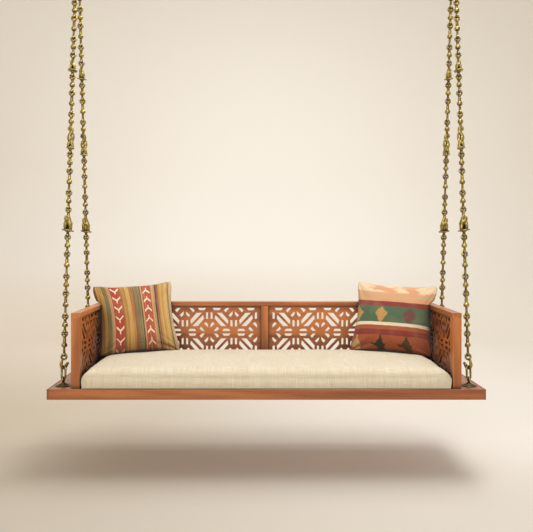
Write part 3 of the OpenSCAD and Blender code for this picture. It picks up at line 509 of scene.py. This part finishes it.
def banded_kilim(name):
    """Bands across the pillow's height, with stepped lozenges in two of them."""
    s = Shader(name)
    u, v, _ = s.split(s.cloth())
    t = wobbled(s, s.add(s.math("DIVIDE", v, PILLOW_SIZE[2]), 0.5), 0.014)
    colour = s.bands(t, BANDS)

    def lozenge(x, y, a, b, step, tint, soft=0.0):
        """A stepped diamond at (x, y), a wide and b high to each side of its middle."""
        nonlocal colour
        dx = s.math("DIVIDE", s.apart(stepped(s, u, step), x), a)
        dy = s.math("DIVIDE", s.apart(stepped(s, v, step * 1.3), y), b)
        mask = s.remap(s.add(dx, dy), 1.0 + soft, 1.0 - soft - 0.001)
        colour = s.mix(mask, colour, tint)

    for x in OCHRE_AT:
        lozenge(x, 0.003, 0.034, 0.038, 0.0062, OCHRE)
        lozenge(x, -0.026, 0.018, 0.012, 0.0045, OCHRE)
    # Green rows that run through the ochre medallions, but not through their middle line
    row = s.math("LESS_THAN", s.math("FRACT", s.math("DIVIDE", s.add(v, 1.0), 0.0095)), 0.22)
    outer = s.math("GREATER_THAN", s.apart(u, OCHRE_AT[0]), 0.007)
    in_green = s.times(
        s.remap(t, GREEN_FROM, GREEN_FROM + 0.01, 0.0, 0.5), s.remap(t, GREEN_TO - 0.002, GREEN_TO - 0.012)
    )
    colour = s.mix(s.times(s.times(row, outer), in_green), colour, GREEN)
    lozenge(MAROON_AT, 0.006, 0.034, 0.034, 0.0060, MAROON, 0.18)
    lozenge(MAROON_AT, -0.008, 0.035, 0.028, 0.0060, MAROON, 0.18)
    for x, tint in LOW_MOTIFS:
        lozenge(x, LOW_ROW + 0.003, 0.022, 0.030, 0.0052, tint)
        lozenge(x + 0.004, LOW_ROW - 0.004, 0.026, 0.022, 0.0052, tint)
        lozenge(x - 0.022, LOW_ROW, 0.024, 0.007, 0.0045, tint)
        lozenge(x + 0.018, LOW_ROW - 0.020, 0.016, 0.010, 0.0045, tint)
        lozenge(x, LOW_ROW + 0.034, 0.006, 0.009, 0.0040, tint)
    patches = s.remap(s.cloth_noise(9, 22), 0.46, 0.54)
    high = s.times(s.remap(t, 0.84, 0.88), 0.8)
    colour = s.mix(s.times(patches, high), colour, IVORY)
    return kilim(s, colour, v, s.cloth_noise(700, 150, 2.0, 0.6))


# ---------------------------------------------------------------- soft pieces


def add_object(name, data):
    obj = bpy.data.objects.new(name, data)
    bpy.context.collection.objects.link(obj)
    return obj


def smooth_faces(mesh):
    mesh.polygons.foreach_set("use_smooth", np.ones(len(mesh.polygons), bool))


def put_cloth(mesh, places):
    mesh.attributes.new("cloth", "FLOAT_VECTOR", "POINT").data.foreach_set("vector", places.ravel())


def pad_mesh(name, top, bottom, cloth_top, cloth_bottom):
    """A closed pad from two grids of points (nu, nv, 3) that share their border.

    Gives the object and the numbers of the border's points in order.
    """
    nu, nv = top.shape[:2]
    inner = np.zeros((nu, nv), bool)
    inner[1:-1, 1:-1] = True
    index_top = np.arange(nu * nv).reshape(nu, nv)
    index_low = index_top.copy()
    index_low[inner] = nu * nv + np.arange(inner.sum())

    def quads(index):
        corners = [index[:-1, :-1], index[1:, :-1], index[1:, 1:], index[:-1, 1:]]
        return np.stack(corners, -1).reshape(-1, 4)

    mesh = bpy.data.meshes.new(name)
    points = np.vstack([top.reshape(-1, 3), bottom[inner]])
    faces = np.vstack([quads(index_top), quads(index_low)[:, ::-1]])
    mesh.from_pydata(points.tolist(), [], faces.tolist())
    put_cloth(mesh, np.vstack([cloth_top.reshape(-1, 3), cloth_bottom[inner]]))
    smooth_faces(mesh)
    mesh.update()
    border = [index_top[:, 0], index_top[-1, 1:], index_top[-2::-1, -1], index_top[0, -2:0:-1]]
    return add_object(name, mesh), np.concatenate(border)


def points_of(mesh):
    co = np.empty(len(mesh.vertices) * 3)
    mesh.vertices.foreach_get("co", co)
    return co.reshape(-1, 3)


def set_points(mesh, points):
    mesh.vertices.foreach_set("co", np.asarray(points, float).ravel())
    mesh.update()


def inflate(obj, pressure, frames, cap, bending, pinned):
    """Swells a closed mesh as cloth under pressure, with no point moved further than cap."""
    rest = points_of(obj.data)
    group = obj.vertex_groups.new(name="held")
    group.add([int(i) for i in np.flatnonzero(pinned)], 1.0, "REPLACE")
    cloth = obj.modifiers.new("Cloth", "CLOTH")
    cloth.settings.quality = 5
    cloth.settings.mass = 0.3
    cloth.settings.tension_stiffness = 15
    cloth.settings.compression_stiffness = 15
    cloth.settings.shear_stiffness = 5
    cloth.settings.bending_stiffness = bending
    cloth.settings.use_pressure = True
    cloth.settings.uniform_pressure_force = pressure
    cloth.settings.effector_weights.gravity = 0
    cloth.collision_settings.use_collision = False
    cloth.settings.vertex_group_mass = "held"
    cloth.point_cache.frame_start, cloth.point_cache.frame_end = 1, frames
    scene = bpy.context.scene
    for f in range(1, frames + 1):
        scene.frame_set(f)
    evaluated = obj.evaluated_get(bpy.context.evaluated_depsgraph_get())
    moved = points_of(evaluated.data)
    obj.modifiers.remove(cloth)
    scene.frame_set(1)
    step = moved - rest
    length = np.linalg.norm(step, axis=1, keepdims=True)
    set_points(obj.data, rest + step * np.minimum(1, cap / np.maximum(length, 1e-9)))


def crowded_lines(count):
    """Places from -1 to 1 that crowd towards both ends."""
    t = np.linspace(-1, 1, count)
    return np.sign(t) * (1 - (1 - np.abs(t)) ** 1.2)


def shoulder(distance, radius):
    """A quarter round: 0 at the rim, 1 from one radius inwards."""
    t = np.clip(distance / radius, 0, 1)
    return np.sqrt(1 - (1 - t) ** 2)


def rim_lines(half, zone, rim, inner):
    """Places from -half to half: rim steps in each outer zone, even steps between them."""
    edge = half - np.linspace(0, zone, rim, endpoint=False)
    return np.concatenate([-edge, np.linspace(zone - half, half - zone, inner), edge[::-1]])


def wall_and_arc(edge, height, radius):
    """An upright wall that rounds over into a flat top, followed over the cloth.

    edge is the distance from the rim in the mesh's own lines, of which the zone is wall and arc.
    Gives how far the surface lies inside the rim, and how far it has risen (0 to 1).
    """
    wall = height - radius
    run = np.clip(edge / CUSHION_ZONE, 0, 1) * (wall + radius * math.pi / 2)
    turn = np.clip((run - wall) / radius, 0, math.pi / 2)
    return radius * (1 - np.cos(turn)), (np.minimum(run, wall) + radius * np.sin(turn)) / height


def arc_lengths(points, axis):
    """Distance along the cloth from the middle line, over a grid of points."""
    steps = np.linalg.norm(np.diff(points, axis=axis), axis=2)
    run = np.concatenate([np.zeros_like(np.take(steps, [0], axis)), np.cumsum(steps, axis)], axis)
    return run - np.take(run, [run.shape[axis] // 2], axis)


def cord(name, path, radius, material):
    """A thin round cord along a closed path of points, as a mesh."""
    curve = bpy.data.curves.new(name, "CURVE")
    curve.dimensions = "3D"
    curve.bevel_depth = radius
    curve.bevel_resolution = 2
    spline = curve.splines.new("POLY")
    spline.points.add(len(path) - 1)
    spline.points.foreach_set("co", np.c_[path, np.ones(len(path))].ravel())
    spline.use_cyclic_u = True
    holder = add_object(name + "_curve", curve)
    mesh = bpy.data.meshes.new_from_object(holder)
    bpy.data.objects.remove(holder)
    mesh.name = name
    mesh.materials.clear()
    mesh.materials.append(material)
    smooth_faces(mesh)
    return add_object(name, mesh)


def cushion_height(x, y):
    """Height of the cushion's top over the seat, without its swelling."""
    from_end = np.clip(CUSHION_HALF[0] - np.abs(x), 0, None)
    from_front = np.clip(CUSHION_HALF[1] - np.abs(y - CUSHION_Y), 0, None)
    u, v = x / CUSHION_HALF[0], (y - CUSHION_Y) / CUSHION_HALF[1]
    body = shoulder(from_end, CUSHION_END_R) * shoulder(from_front, CUSHION_FRONT_R)
    rounded = CUSHION_END_R
    return (CUSHION_H - rounded) + rounded * body + CUSHION_CROWN * (1 - u**4) * (1 - v * v)


def waves(x, y, seed, size, pitch):
    """Soft unevenness: a sum of slanting ripples about this high and this far apart."""
    count = 9
    rng = np.random.default_rng(seed)
    total = np.zeros_like(x)
    for turn, phase, scale in rng.uniform([0, 0, 0.6], [math.pi, 2 * math.pi, 1.7], (count, 3)):
        total += np.sin((x * math.cos(turn) + y * math.sin(turn)) * 2 * math.pi / (pitch * scale) + phase)
    return total * size / math.sqrt(count)


linen_cloth = linen("linen")
# How far the cushion's corners are pulled in and how long they are, and where end and front blend
CORNER_PULL, CORNER_REACH, MITRE = 0.006, 0.07, 0.12


def make_cushion():
    """The seat cushion: upright walls that round over into a crowned top, swollen as cloth."""
    hw, hd = CUSHION_HALF
    height = CUSHION_H - CUSHION_SEAM
    u, v = np.meshgrid(
        rim_lines(hw, CUSHION_ZONE, 16, 181), rim_lines(hd, CUSHION_ZONE, 16, 61), indexing="ij"
    )
    from_end, from_front = hw - np.abs(u), hd - np.abs(v)
    edge = np.minimum(from_end, from_front)
    end_inset, end_rise = wall_and_arc(edge, height, CUSHION_END_R)
    front_inset, front_rise = wall_and_arc(edge, height, CUSHION_FRONT_R)
    ring = np.minimum(edge, CUSHION_ZONE)
    x, y = u * (hw - end_inset) / (hw - ring), v * (hd - front_inset) / (hd - ring)
    turn = np.clip(0.5 + (from_end - from_front) / MITRE, 0, 1)
    rise = end_rise + (front_rise - end_rise) * turn
    near_end, near_front = (np.clip(1 - d / CORNER_REACH, 0, 1) ** 2 for d in (from_end, from_front))
    x -= np.sign(u) * CORNER_PULL * near_end * near_front
    y -= np.sign(v) * CORNER_PULL * near_end * near_front
    crown = CUSHION_CROWN * (1 - (x / hw) ** 4) * (1 - (y / hd) ** 2)
    swell = CUSHION_SEAM + height * rise + (crown + waves(x, y, 5, 0.0009, 0.20)) * rise
    top = np.stack([x, CUSHION_Y + y, CUSHION_BASE + swell], -1)
    bottom = np.stack([u, CUSHION_Y + v, np.full_like(u, CUSHION_BASE)], -1)
    for rim in (np.s_[0], np.s_[-1], np.s_[:, 0], np.s_[:, -1]):
        bottom[rim] = top[rim]
    cloth = [
        np.stack([arc_lengths(skin, 0), arc_lengths(skin, 1), np.full_like(u, layer)], -1)
        for layer, skin in enumerate((top, bottom))
    ]
    obj, border = pad_mesh("seat_cushion_linen", top, bottom, *cloth)
    low_side = points_of(obj.data)[:, 2] < CUSHION_BASE + 0.006
    inflate(obj, 4.0, 10, 0.004, 0.8, low_side)
    points = points_of(obj.data)
    points[:, 0] = np.clip(points[:, 0], -ARM_INNER + 0.0015, ARM_INNER - 0.0015)
    points[:, 1] = np.clip(points[:, 1], PLATFORM_FRONT + 0.0005, BACK_FRONT - REST_GAP)
    points[:, 2] = np.maximum(points[:, 2], CUSHION_BASE)
    set_points(obj.data, points)
    obj.data.materials.append(linen_cloth)
    seam = cord("seat_cushion_welt", points[border], WELT_R, linen_cloth)
    for piece in (obj, seam):
        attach(piece, "cushion")
    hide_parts("seat_cushion")


def leaned(points):
    """Points of a pillow in its own plane (x, y, z), leaned back and turned, for the right side."""
    x, y, z = points[..., 0], points[..., 1], points[..., 2]
    c, k = math.cos(PILLOW_LEAN), math.sin(PILLOW_LEAN)
    y, z = y * c + z * k, z * c - y * k
    c, k = math.cos(PILLOW_YAW), math.sin(PILLOW_YAW)
    return np.stack([x * c + y * k, y * c - x * k, z], -1)


def rolled(points):
    """Points of a pillow in its own plane, tipped outwards at the top."""
    c, k = math.cos(PILLOW_ROLL), math.sin(PILLOW_ROLL)
    x, z = points[..., 0], points[..., 2]
    return np.stack([x * c + z * k, points[..., 1], z * c - x * k], -1)


def pillow_swell(u, v, power=0.42):
    """Share of the full thickness over a pillow; the plain solid's power unless another is given."""
    return np.clip((1 - u * u) * (1 - v * v), 0, 1) ** power


def pillow_place(side):
    """Where the construction has this pillow, as the offset of its right-hand twin."""
    w, t, h = PILLOW_SIZE
    grid = np.sin(np.linspace(-1, 1, 15) * math.pi / 2)
    u, v = np.meshgrid(grid, grid, indexing="ij")
    x, z = u * w / 2 * (1 - PILLOW_DRAW * (1 - v * v)), v * h / 2 * (1 - PILLOW_DRAW * (1 - u * u))
    deep = t / 2 * pillow_swell(u, v) + SOLID_EDGE
    skins = [leaned(np.stack([x, face * deep, z], -1)) for face in (-1, 1)]
    low = np.vstack([skin.reshape(-1, 3) for skin in skins]).min(0)
    box_low, box_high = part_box(f"{side}_pillow")
    return np.array([box_low[0] if SIDES[side] > 0 else -box_high[0], box_low[1], box_low[2]]) - low


CREASE_H, CREASE_REACH = 0.0022, 0.045
UNEVEN_H, UNEVEN_PITCH = 0.0016, 0.13


def creases(x, z, seed):
    """Folds that run out of a pillow's corners, as heights on its front."""
    w, _, h = PILLOW_SIZE
    rng = np.random.default_rng(seed)
    total = np.zeros_like(x)
    for cx in (-1, 1):
        for cz in (-1, 1):
            dx, dz = np.abs(cx * w / 2 - x), np.abs(cz * h / 2 - z)
            run, angle = np.hypot(dx, dz) / CREASE_REACH, np.arctan2(dz, dx)
            folds, phase = rng.uniform(9, 13), rng.uniform(0, 2 * math.pi)
            total += CREASE_H * np.cos(folds * angle + phase) * run * np.exp(1 - run)
    return total


def settle(points, u, v):
    """Lowers the foot of a right-hand pillow on to the cushion, all along its width.

    Each column of points comes down by its own gap: its foot all the way, its upper half not at all.
    The whole pillow then stands REST_GAP higher.
    """
    for column in np.unique(u):
        here = u == column
        x, y, z = points[here].T
        gap = (z - CUSHION_BASE - cushion_height(np.clip(x, 0, CUSHION_FLAT), y)).min()
        points[here, 2] -= min(gap, FOOT_SINK) * np.clip(0.1 - v[here], 0, 1.1) / 1.1 - REST_GAP


def make_pillow(side, material, seed):
    """A pillow with pulled-out ears, made for the right-hand corner and mirrored for the left."""
    w, t, h = PILLOW_SIZE
    u, v = np.meshgrid(crowded_lines(97), crowded_lines(89), indexing="ij")
    # Drawn in between the ears at its sides and top, and straight where it stands
    x = u * w / 2 * (1 - SIDE_DRAW * (1 - v * v))
    z = v * h / 2 * (1 - np.where(v > 0, TOP_DRAW * (1 - u**4), FOOT_DRAW * (1 - u * u)))
    blunt = EAR_BLUNT * np.clip((np.abs(u) + np.abs(v) - 1.75) / 0.25, 0, 1) ** 1.5
    x, z = x - np.sign(u) * blunt, z - np.sign(v) * blunt
    swell = pillow_swell(u, v, PILLOW_FULL)
    deep = t / 2 * swell * 0.8
    skins = []
    for way, grain in ((-1, seed), (1, seed + 1)):
        uneven = (creases(x, z, grain) + waves(x, z, grain, UNEVEN_H, UNEVEN_PITCH)) * swell
        skins.append(np.stack([x, way * (deep + uneven), z], -1))
    cloth = [np.stack([u * w / 2, v * h / 2, np.full_like(u, layer)], -1) for layer in (0, 1)]
    obj, border = pad_mesh(f"{side}_pillow_cover", *skins, *cloth)
    inner = np.zeros(u.shape, bool)
    inner[1:-1, 1:-1] = True
    us, vs = (np.concatenate([g.ravel(), g[inner]]) for g in (u, v))
    inflate(obj, 5.0, 12, 0.018, 0.3, np.abs(us * vs) > 0.93)
    points = points_of(obj.data)
    low, high = points.min(0), points.max(0)
    points = (points - (low + high) / 2) / (high - low) * np.array(PILLOW_SIZE)
    # Pushed further into its corner than the plain solid, and tipped outwards at the top
    points = leaned(rolled(points)) + pillow_place(side) + PILLOW_PUSH
    settle(points, us, vs)
    press(points)
    mirrored = SIDES[side] < 0
    if mirrored:
        points[:, 0] *= -1
        mirror_cloth(obj.data)
        obj.data.flip_normals()
    set_points(obj.data, points)
    obj.data.materials.append(material)
    smooth = obj.modifiers.new("smooth", "SUBSURF")
    smooth.levels = smooth.render_levels = 1
    seam = cord(f"{side}_pillow_seam", points[border], PILLOW_SEAM_R, material)
    rim = cloth[0].reshape(-1, 3)[border]
    if mirrored:
        rim = rim * [-1, 1, 1]
    points_round_cord = len(seam.data.vertices) // len(border)
    put_cloth(seam.data, np.repeat(rim, points_round_cord, axis=0))
    for piece in (obj, seam):
        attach(piece, f"{side}_pillow")
    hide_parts(f"{side}_pillow")


def press(points):
    """Flattens a right-hand pillow where it rests on the cushion, the arm and the back."""
    x, y, z = points.T
    z[:] = np.maximum(z, CUSHION_BASE + cushion_height(np.clip(x, 0, CUSHION_FLAT), y) + 2 * REST_GAP)
    over_rail = RAIL_BULGE * np.clip((z - FRAME_TOP - 2 * REST_GAP) / 0.03, 0, 1)
    for run, face in ((x, ARM_INNER - REST_GAP), (y, BACK_FRONT - REST_GAP)):
        # A soft clip: well clear of the face the points stay, and near it they bend along it
        clear = (face + over_rail - run) / PRESS_SOFT
        kept = np.where(clear > 8, clear, np.log1p(np.exp(np.minimum(clear, 8))))
        run[:] = face + over_rail - PRESS_SOFT * kept


def mirror_cloth(mesh):
    """Keeps a weave the right way round on a pillow that is mirrored."""
    attribute = mesh.attributes["cloth"]
    values = np.empty(len(mesh.vertices) * 3, np.float32)
    attribute.data.foreach_get("vector", values)
    values = values.reshape(-1, 3) * np.array([-1, 1, 1], np.float32)
    attribute.data.foreach_set("vector", values.ravel())


make_cushion()
make_pillow("left", striped_kilim("striped_kilim"), 3)
make_pillow("right", banded_kilim("banded_kilim"), 8)


# ---------------------------------------------------------------- cast pieces of the chains


def melt(raw, voxel):
    """Melts an object's solids into one soft-edged mesh, in place, and takes the object away."""
    remesh = raw.modifiers.new("melt", "REMESH")
    remesh.mode, remesh.voxel_size, remesh.use_smooth_shade = "VOXEL", voxel, True
    smooth = raw.modifiers.new("smooth", "SMOOTH")
    smooth.factor, smooth.iterations = 0.5, 3
    bpy.context.view_layer.update()
    mesh = bpy.data.meshes.new_from_object(raw.evaluated_get(bpy.context.evaluated_depsgraph_get()))
    mesh.transform(raw.matrix_world)
    bpy.data.objects.remove(raw)
    mesh.materials.clear()
    mesh.materials.append(aged)
    return mesh


def swollen(mesh, bulk):
    """The mesh's points, each moved out along its normal by its own amount."""
    normals = np.empty(len(mesh.vertices) * 3)
    mesh.vertex_normals.foreach_get("vector", normals)
    return points_of(mesh) + normals.reshape(-1, 3) * bulk[:, None]


class Casting:
    """Lumps, limbs and turned parts in millimetres, melted together into one cast piece."""

    def __init__(self):
        self.bm = bmesh.new()

    def lump(self, x, y, z, r, stretch=(1, 1, 1)):
        made = bmesh.ops.create_icosphere(self.bm, subdivisions=2, radius=r)
        for vert in made["verts"]:
            vert.co = [c * k + place for c, k, place in zip(vert.co, stretch, (x, y, z))]

    def limb(self, *stations):
        """A tapering limb through (x, y, z, r)."""
        for a, b in zip(stations, stations[1:]):
            a, b = np.array(a, float), np.array(b, float)
            steps = max(2, int(np.linalg.norm(b[:3] - a[:3]) / (0.35 * min(a[3], b[3]))))
            for i in range(steps + 1):
                self.lump(*(a + (b - a) * i / steps))

    def turned(self, profile, place=lambda x, y, h: (x, y, h), sides=40):
        """A turned part; profile is a closed loop of (radius, height) or starts and ends at radius 0.

        place puts a point that was turned round the upright axis where it belongs.
        """
        closed = profile[0][0] > 0
        rings = []
        for r, h in profile:
            angles = np.linspace(0, 2 * math.pi, sides, endpoint=False) if r > 0 else [0]
            rings.append([self.bm.verts.new(place(r * math.cos(k), r * math.sin(k), h)) for k in angles])
        pairs = list(zip(rings, rings[1:])) + ([(rings[-1], rings[0])] if closed else [])
        for low, high in pairs:
            for i in range(sides):
                j = (i + 1) % sides
                corners = [low[i % len(low)], low[j % len(low)], high[j % len(high)], high[i % len(high)]]
                self.bm.faces.new(list(dict.fromkeys(corners)))

    def lug(self, z):
        """The thick eye at the end of a link, its bore from side to side."""
        r, bore, half = LUG_R, LUG_BORE, LUG_HALF
        self.turned(
            [(bore, -half + 1), (bore + 1, -half), (r - 1.5, -half), (r, -half + 2), (r, half - 2),
             (r - 1.5, half), (bore + 1, half), (bore, half - 1)],
            lambda a, b, h: (h, a, b + z), 32,
        )

    def melted(self, name):
        """The piece as one mesh in metres, with the uneven skin of a casting."""
        bmesh.ops.recalc_face_normals(self.bm, faces=self.bm.faces)
        mesh = bpy.data.meshes.new(name + "_raw")
        self.bm.to_mesh(mesh)
        self.bm.free()
        made = melt(add_object(name + "_raw", mesh), 1.25)
        x, y, z = points_of(made).T
        set_points(made, swollen(made, waves(x + 0.7 * y, z, 4, 0.10, 7.0)) / 1000)
        return made


def figure_link(kind):
    """The whole link that carries a figure, from its lower ring (z = 0) up."""
    pitch, base, plate = PITCH[kind] * 1000, PLATE_TOP, PLATE_R[kind]
    end = LUG_OFF + LUG_R
    height = pitch - end - base
    piece = Casting()
    for z in (LUG_OFF, pitch - LUG_OFF):
        piece.lug(z)
    piece.turned([(0, end - 2), (5, end - 2), (5, base), (0, base)])
    middle, top = base + 0.5 * height, pitch - end + 2
    piece.turned([(0, middle), (5.5, middle), (5.5, top), (0, top)])
    piece.turned([(0, base - 11), (6.5, base - 11), (9, base - 8), (10, base - 4), (0, base - 4)])
    piece.turned([
        (0, base - 5.2), (plate * 0.7, base - 5.0), (plate - 1, base - 4.4), (plate + 0.2, base - 1.8),
        (plate - 1, base + 1.0), (plate * 0.8, base), (0, base),
    ], lambda x, y, h: (x, y, h + PLATE_SLOPE * x))
    if kind == "peacock":
        peacock(piece, base, height)
    else:
        bird(piece, base, height / BIRD_H)
    return piece.melted(kind.replace(" ", "_"))


BIRD_H, PEACOCK_H = 71, 131.6


def bird(piece, base, k):
    """A stout body over a small opening between its legs, the head close to the neck's outer side."""

    def at(*stations):
        return [(x * k, y * k, base + z * k, r * k) for x, y, z, r in stations]

    for y in (-4, 4):
        piece.limb(*at((10, y, 0, 6.5), (11.5, y, 13, 7.5), (10, y, 28, 9)))
        piece.limb(*at((-10, y, 0, 6.5), (-11.5, y, 13, 7.5), (-9, y, 28, 9)))
    piece.limb(*at((-8, 0, 30, 10), (0, 0, 33, 12), (8, 0, 34, 10)))
    piece.limb(*at((0, 7, 0, 4.5), (0, 7, 12, 5), (0, 5, 24, 6)))
    piece.limb(*at((5, 0, 40, 10), (8, 0, 49, 9), (9.5, 0, 57, 7.5)))
    piece.limb(*at((10, 0, 58, 5.5), (14, 0, 53, 4.2), (15, 0, 46, 3.2)))
    piece.limb(*at((-6, 0, 40, 9.5), (-4, 0, 50, 8.5), (-1, 0, 60, 7.5), (0, 0, 70, 7)))
    piece.limb(*at((-10, 0, 36, 7.5), (-15, 0, 28, 5.5), (-16, 0, 18, 4)))
    for y in (-10, 10):
        for x, z, r in ((-2, 36, 7.5), (-8, 31, 5.5), (4, 39, 5.5)):
            piece.lump(*at((x, y, z, r))[0], (1.2, 0.7, 0.9))


def peacock(piece, base, h):
    """A tall bird: a swelling breast, a neck that curls over at the top, a raised tail."""
    k = h / PEACOCK_H

    def at(*stations):
        return [(x, y, base + z * k, r) for x, y, z, r in stations]

    for y in (-4, 4):
        piece.limb(*at((8, y, 0, 6), (8, y, 10, 6.5), (5, y, 20, 8)))
        piece.limb(*at((-9, y, 0, 6), (-9, y, 10, 6.5), (-5, y, 20, 8)))
    piece.limb(*at((-2, 0, 22, 10.5), (2, 0, 34, 11.5), (6, 0, 46, 10.5), (4, 0, 58, 8.5)))
    piece.limb(*at((4, 0, 58, 8.5), (-3, 0, 69, 7.5), (-7, 0, 80, 6.8), (-4, 0, 91, 6.5), (3, 0, 95, 6.5)))
    piece.limb(*at((3, 0, 95, 6), (10, 0, 90, 5), (11, 0, 82, 4), (5, 0, 77, 3.2)))
    piece.limb(*at((-7, 0, 30, 7), (-13, 0, 44, 5), (-13, 0, 60, 4), (-10, 0, 68, 3)))
    for y in (-8, 8):
        piece.lump(*at((3, y, 38, 8))[0], (1, 0.6, 1.4))
    knob = base + h - 13
    profile = [(0, -12), (9.8, -9), (12.2, -3), (12.4, 2), (9.0, 9), (5, 12), (0, 12)]
    piece.turned([(r, knob + h) for r, h in profile])


def hang_figures():
    """Puts the cast links into the four leaning chains, in the places of the plain ones."""
    meshes = {kind: figure_link(kind) for kind in ("bird", "small bird", "peacock")}
    lift = math.cos(CHAIN_LEAN), math.sin(CHAIN_LEAN)
    for side, sign in SIDES.items():
        for end, way in (("front", -1), ("rear", 1)):
            starts = HOOK_RING + np.cumsum([0] + [PITCH[kind] for kind in CHAIN])
            parts = [(kind, start) for kind, start in zip(CHAIN, starts) if kind in meshes]
            for number, (kind, start) in enumerate(parts):
                mesh = meshes[kind].copy()
                x, y, z = points_of(mesh).T
                z = z + start
                placed = np.stack([
                    sign * (ANCHOR[0] + x),
                    way * (ANCHOR[1] - y * lift[0] - z * lift[1]),
                    ANCHOR[2] + z * lift[0] - y * lift[1],
                ], -1)
                set_points(mesh, placed)
                obj = add_object(f"{side}_{end}_cast_{kind.replace(' ', '_')}_{number + 1}", mesh)
                if sign * -way < 0:
                    mesh.flip_normals()
                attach(obj, f"{side}_chains")
                if number == 0:
                    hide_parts(f"{side}_{end}_figures")


hang_figures()


# The hooks are thickest at this height, over this much of it
HOOK_BELLY_Z, HOOK_BELLY_H = 0.130, 0.013


def recast(node, grow):
    """A hand-cast version of a node, thicker by grow (a function of the height) in metres."""
    raw = add_object(node + "_raw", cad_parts[node].data.copy())
    raw.matrix_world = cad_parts[node].matrix_world
    mesh = melt(raw, 0.0011)
    x, y, z = points_of(mesh).T
    set_points(mesh, swollen(mesh, grow(z) + waves(x + y, z, 6, 0.00022, 0.009)))
    obj = add_object(node + "_cast", mesh)
    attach(obj, node.split("_")[0] + "_chains")
    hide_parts(node)


def hook_bulk(z):
    return 0.0006 + 0.0018 * np.exp(-(((z - HOOK_BELLY_Z) / HOOK_BELLY_H) ** 2))


for side in SIDES:
    recast(f"{side}_oval_links", lambda z: np.full_like(z, 0.0016))
    recast(f"{side}_hooks", hook_bulk)


# ---------------------------------------------------------------- stage, lights and camera


# Wall colours with a pool of light painted on them: bright at its middle, dim away from it
WALL_BRIGHT, WALL_DIM = (250, 247, 241), (228, 221, 210)
# Left and right colours of the floor's paper before, under and behind the swing, with painted shade: darker
# at the left and in front, warmer under the swing
FLOOR_FRONT = (186, 176, 162), (204, 197, 186)
FLOOR_MIDDLE = (199, 187, 168), (226, 220, 212)
FLOOR_BACK = (230, 219, 204), (236, 229, 218)
# The middle of the pool of light painted on the wall
WALL_PAINTED_POOL = (0.10, 6.2, 0.85)


def studio_paper():
    """Pale paper with painted light and shade: brightest on the wall behind the swing, darkest on the floor
    in front, at the left.
    """
    s = Shader("studio_paper")
    x, y, z = s.split(s.coords())
    away = s.node("VectorMath", {0: s.coords(), 1: WALL_PAINTED_POOL}, operation="DISTANCE").outputs["Value"]
    wall = s.mix(s.remap(away, 0.5, 4.6), WALL_BRIGHT, WALL_DIM)
    across = s.remap(x, -1.4, 1.0)
    front, middle, back = (s.mix(across, *pair) for pair in (FLOOR_FRONT, FLOOR_MIDDLE, FLOOR_BACK))
    floor = s.mix(s.remap(y, -0.9, 0.5), front, s.mix(s.remap(y, 0.6, 3.6), middle, back))
    return s.surface(
        Base_Color=s.mix(s.remap(z, FLOOR_Z, FLOOR_Z + 0.9), floor, wall),
        Roughness=1.0,
        Specular_IOR_Level=0.0,
    )


def make_stage():
    """A round pale studio: a floor that curves up into a wall on all sides."""
    bend = np.linspace(0.1, math.pi / 2, 16)
    cove = [(FLOOR_R + COVE_R * math.sin(a), COVE_R - COVE_R * math.cos(a)) for a in bend]
    outer = FLOOR_R + COVE_R
    profile = [(0.0, 0.0), (2.0, 0.0), (FLOOR_R, 0.0), *cove, (outer, 4.0), (outer, WALL_H)]
    count = 96
    verts, faces = [], []
    for r, h in profile:
        for k in range(count):
            a = 2 * math.pi * k / count
            verts.append((r * math.cos(a), r * math.sin(a), FLOOR_Z + h))
    for i in range(len(profile) - 1):
        for k in range(count):
            a, b = i * count + k, i * count + (k + 1) % count
            faces.append((a, b, b + count, a + count))
    mesh = bpy.data.meshes.new("studio")
    mesh.from_pydata(verts, [], faces)
    smooth_faces(mesh)
    mesh.materials.append(studio_paper())
    obj = add_object("studio", mesh)


WARM = (1.0, 0.995, 0.985)
SKY_STRENGTH = 0.68
# Place, target, size in metres and watts of each softbox
LIGHTS = {
    "top_softbox": ((0.9, -0.4, 3.6), (0, 0, 0), (3.0, 1.3), 92),
    "front_fill": ((-1.2, -4.4, 2.2), (0, 0, 0.4), (2.6, 2.2), 84),
    "side_fill": ((3.2, -2.6, 1.8), (0, 0, 0.5), (1.6, 1.6), 10),
    "wall_wash": ((0.0, 1.8, 4.4), (0, 6.4, 1.0), (3.0, 1.0), 68),
}


def softbox(name, place, target, size, power):
    data = bpy.data.lights.new(name, "AREA")
    data.shape = "RECTANGLE"
    data.size, data.size_y = size
    data.energy = power
    data.color = WARM
    obj = add_object(name, data)
    obj.location = place
    obj.rotation_euler = (Vector(target) - Vector(place)).to_track_quat("-Z", "Y").to_euler()


def light_up():
    for name, settings in LIGHTS.items():
        softbox(name, *settings)
    world = bpy.data.worlds.new("soft_day")
    world.use_nodes = True
    background = world.node_tree.nodes["Background"]
    background.inputs["Color"].default_value = (*WARM, 1)
    background.inputs["Strength"].default_value = SKY_STRENGTH
    bpy.context.scene.world = world
    bpy.context.scene.view_settings.view_transform = "Standard"


def add_camera():
    """A level camera in front of the swing, shifted so that the chains' tops leave the picture."""
    data = bpy.data.cameras.new("camera")
    data.lens = 46.6
    data.sensor_width = 36
    data.shift_x = 0.0178
    data.shift_y = -0.0469
    camera = add_object("camera", data)
    camera.location = (-0.0387, -3.178, 0.6616)
    camera.rotation_euler = (math.pi / 2, 0, 0)
    bpy.context.scene.camera = camera


make_stage()
light_up()
add_camera()

bpy.context.view_layer.update()
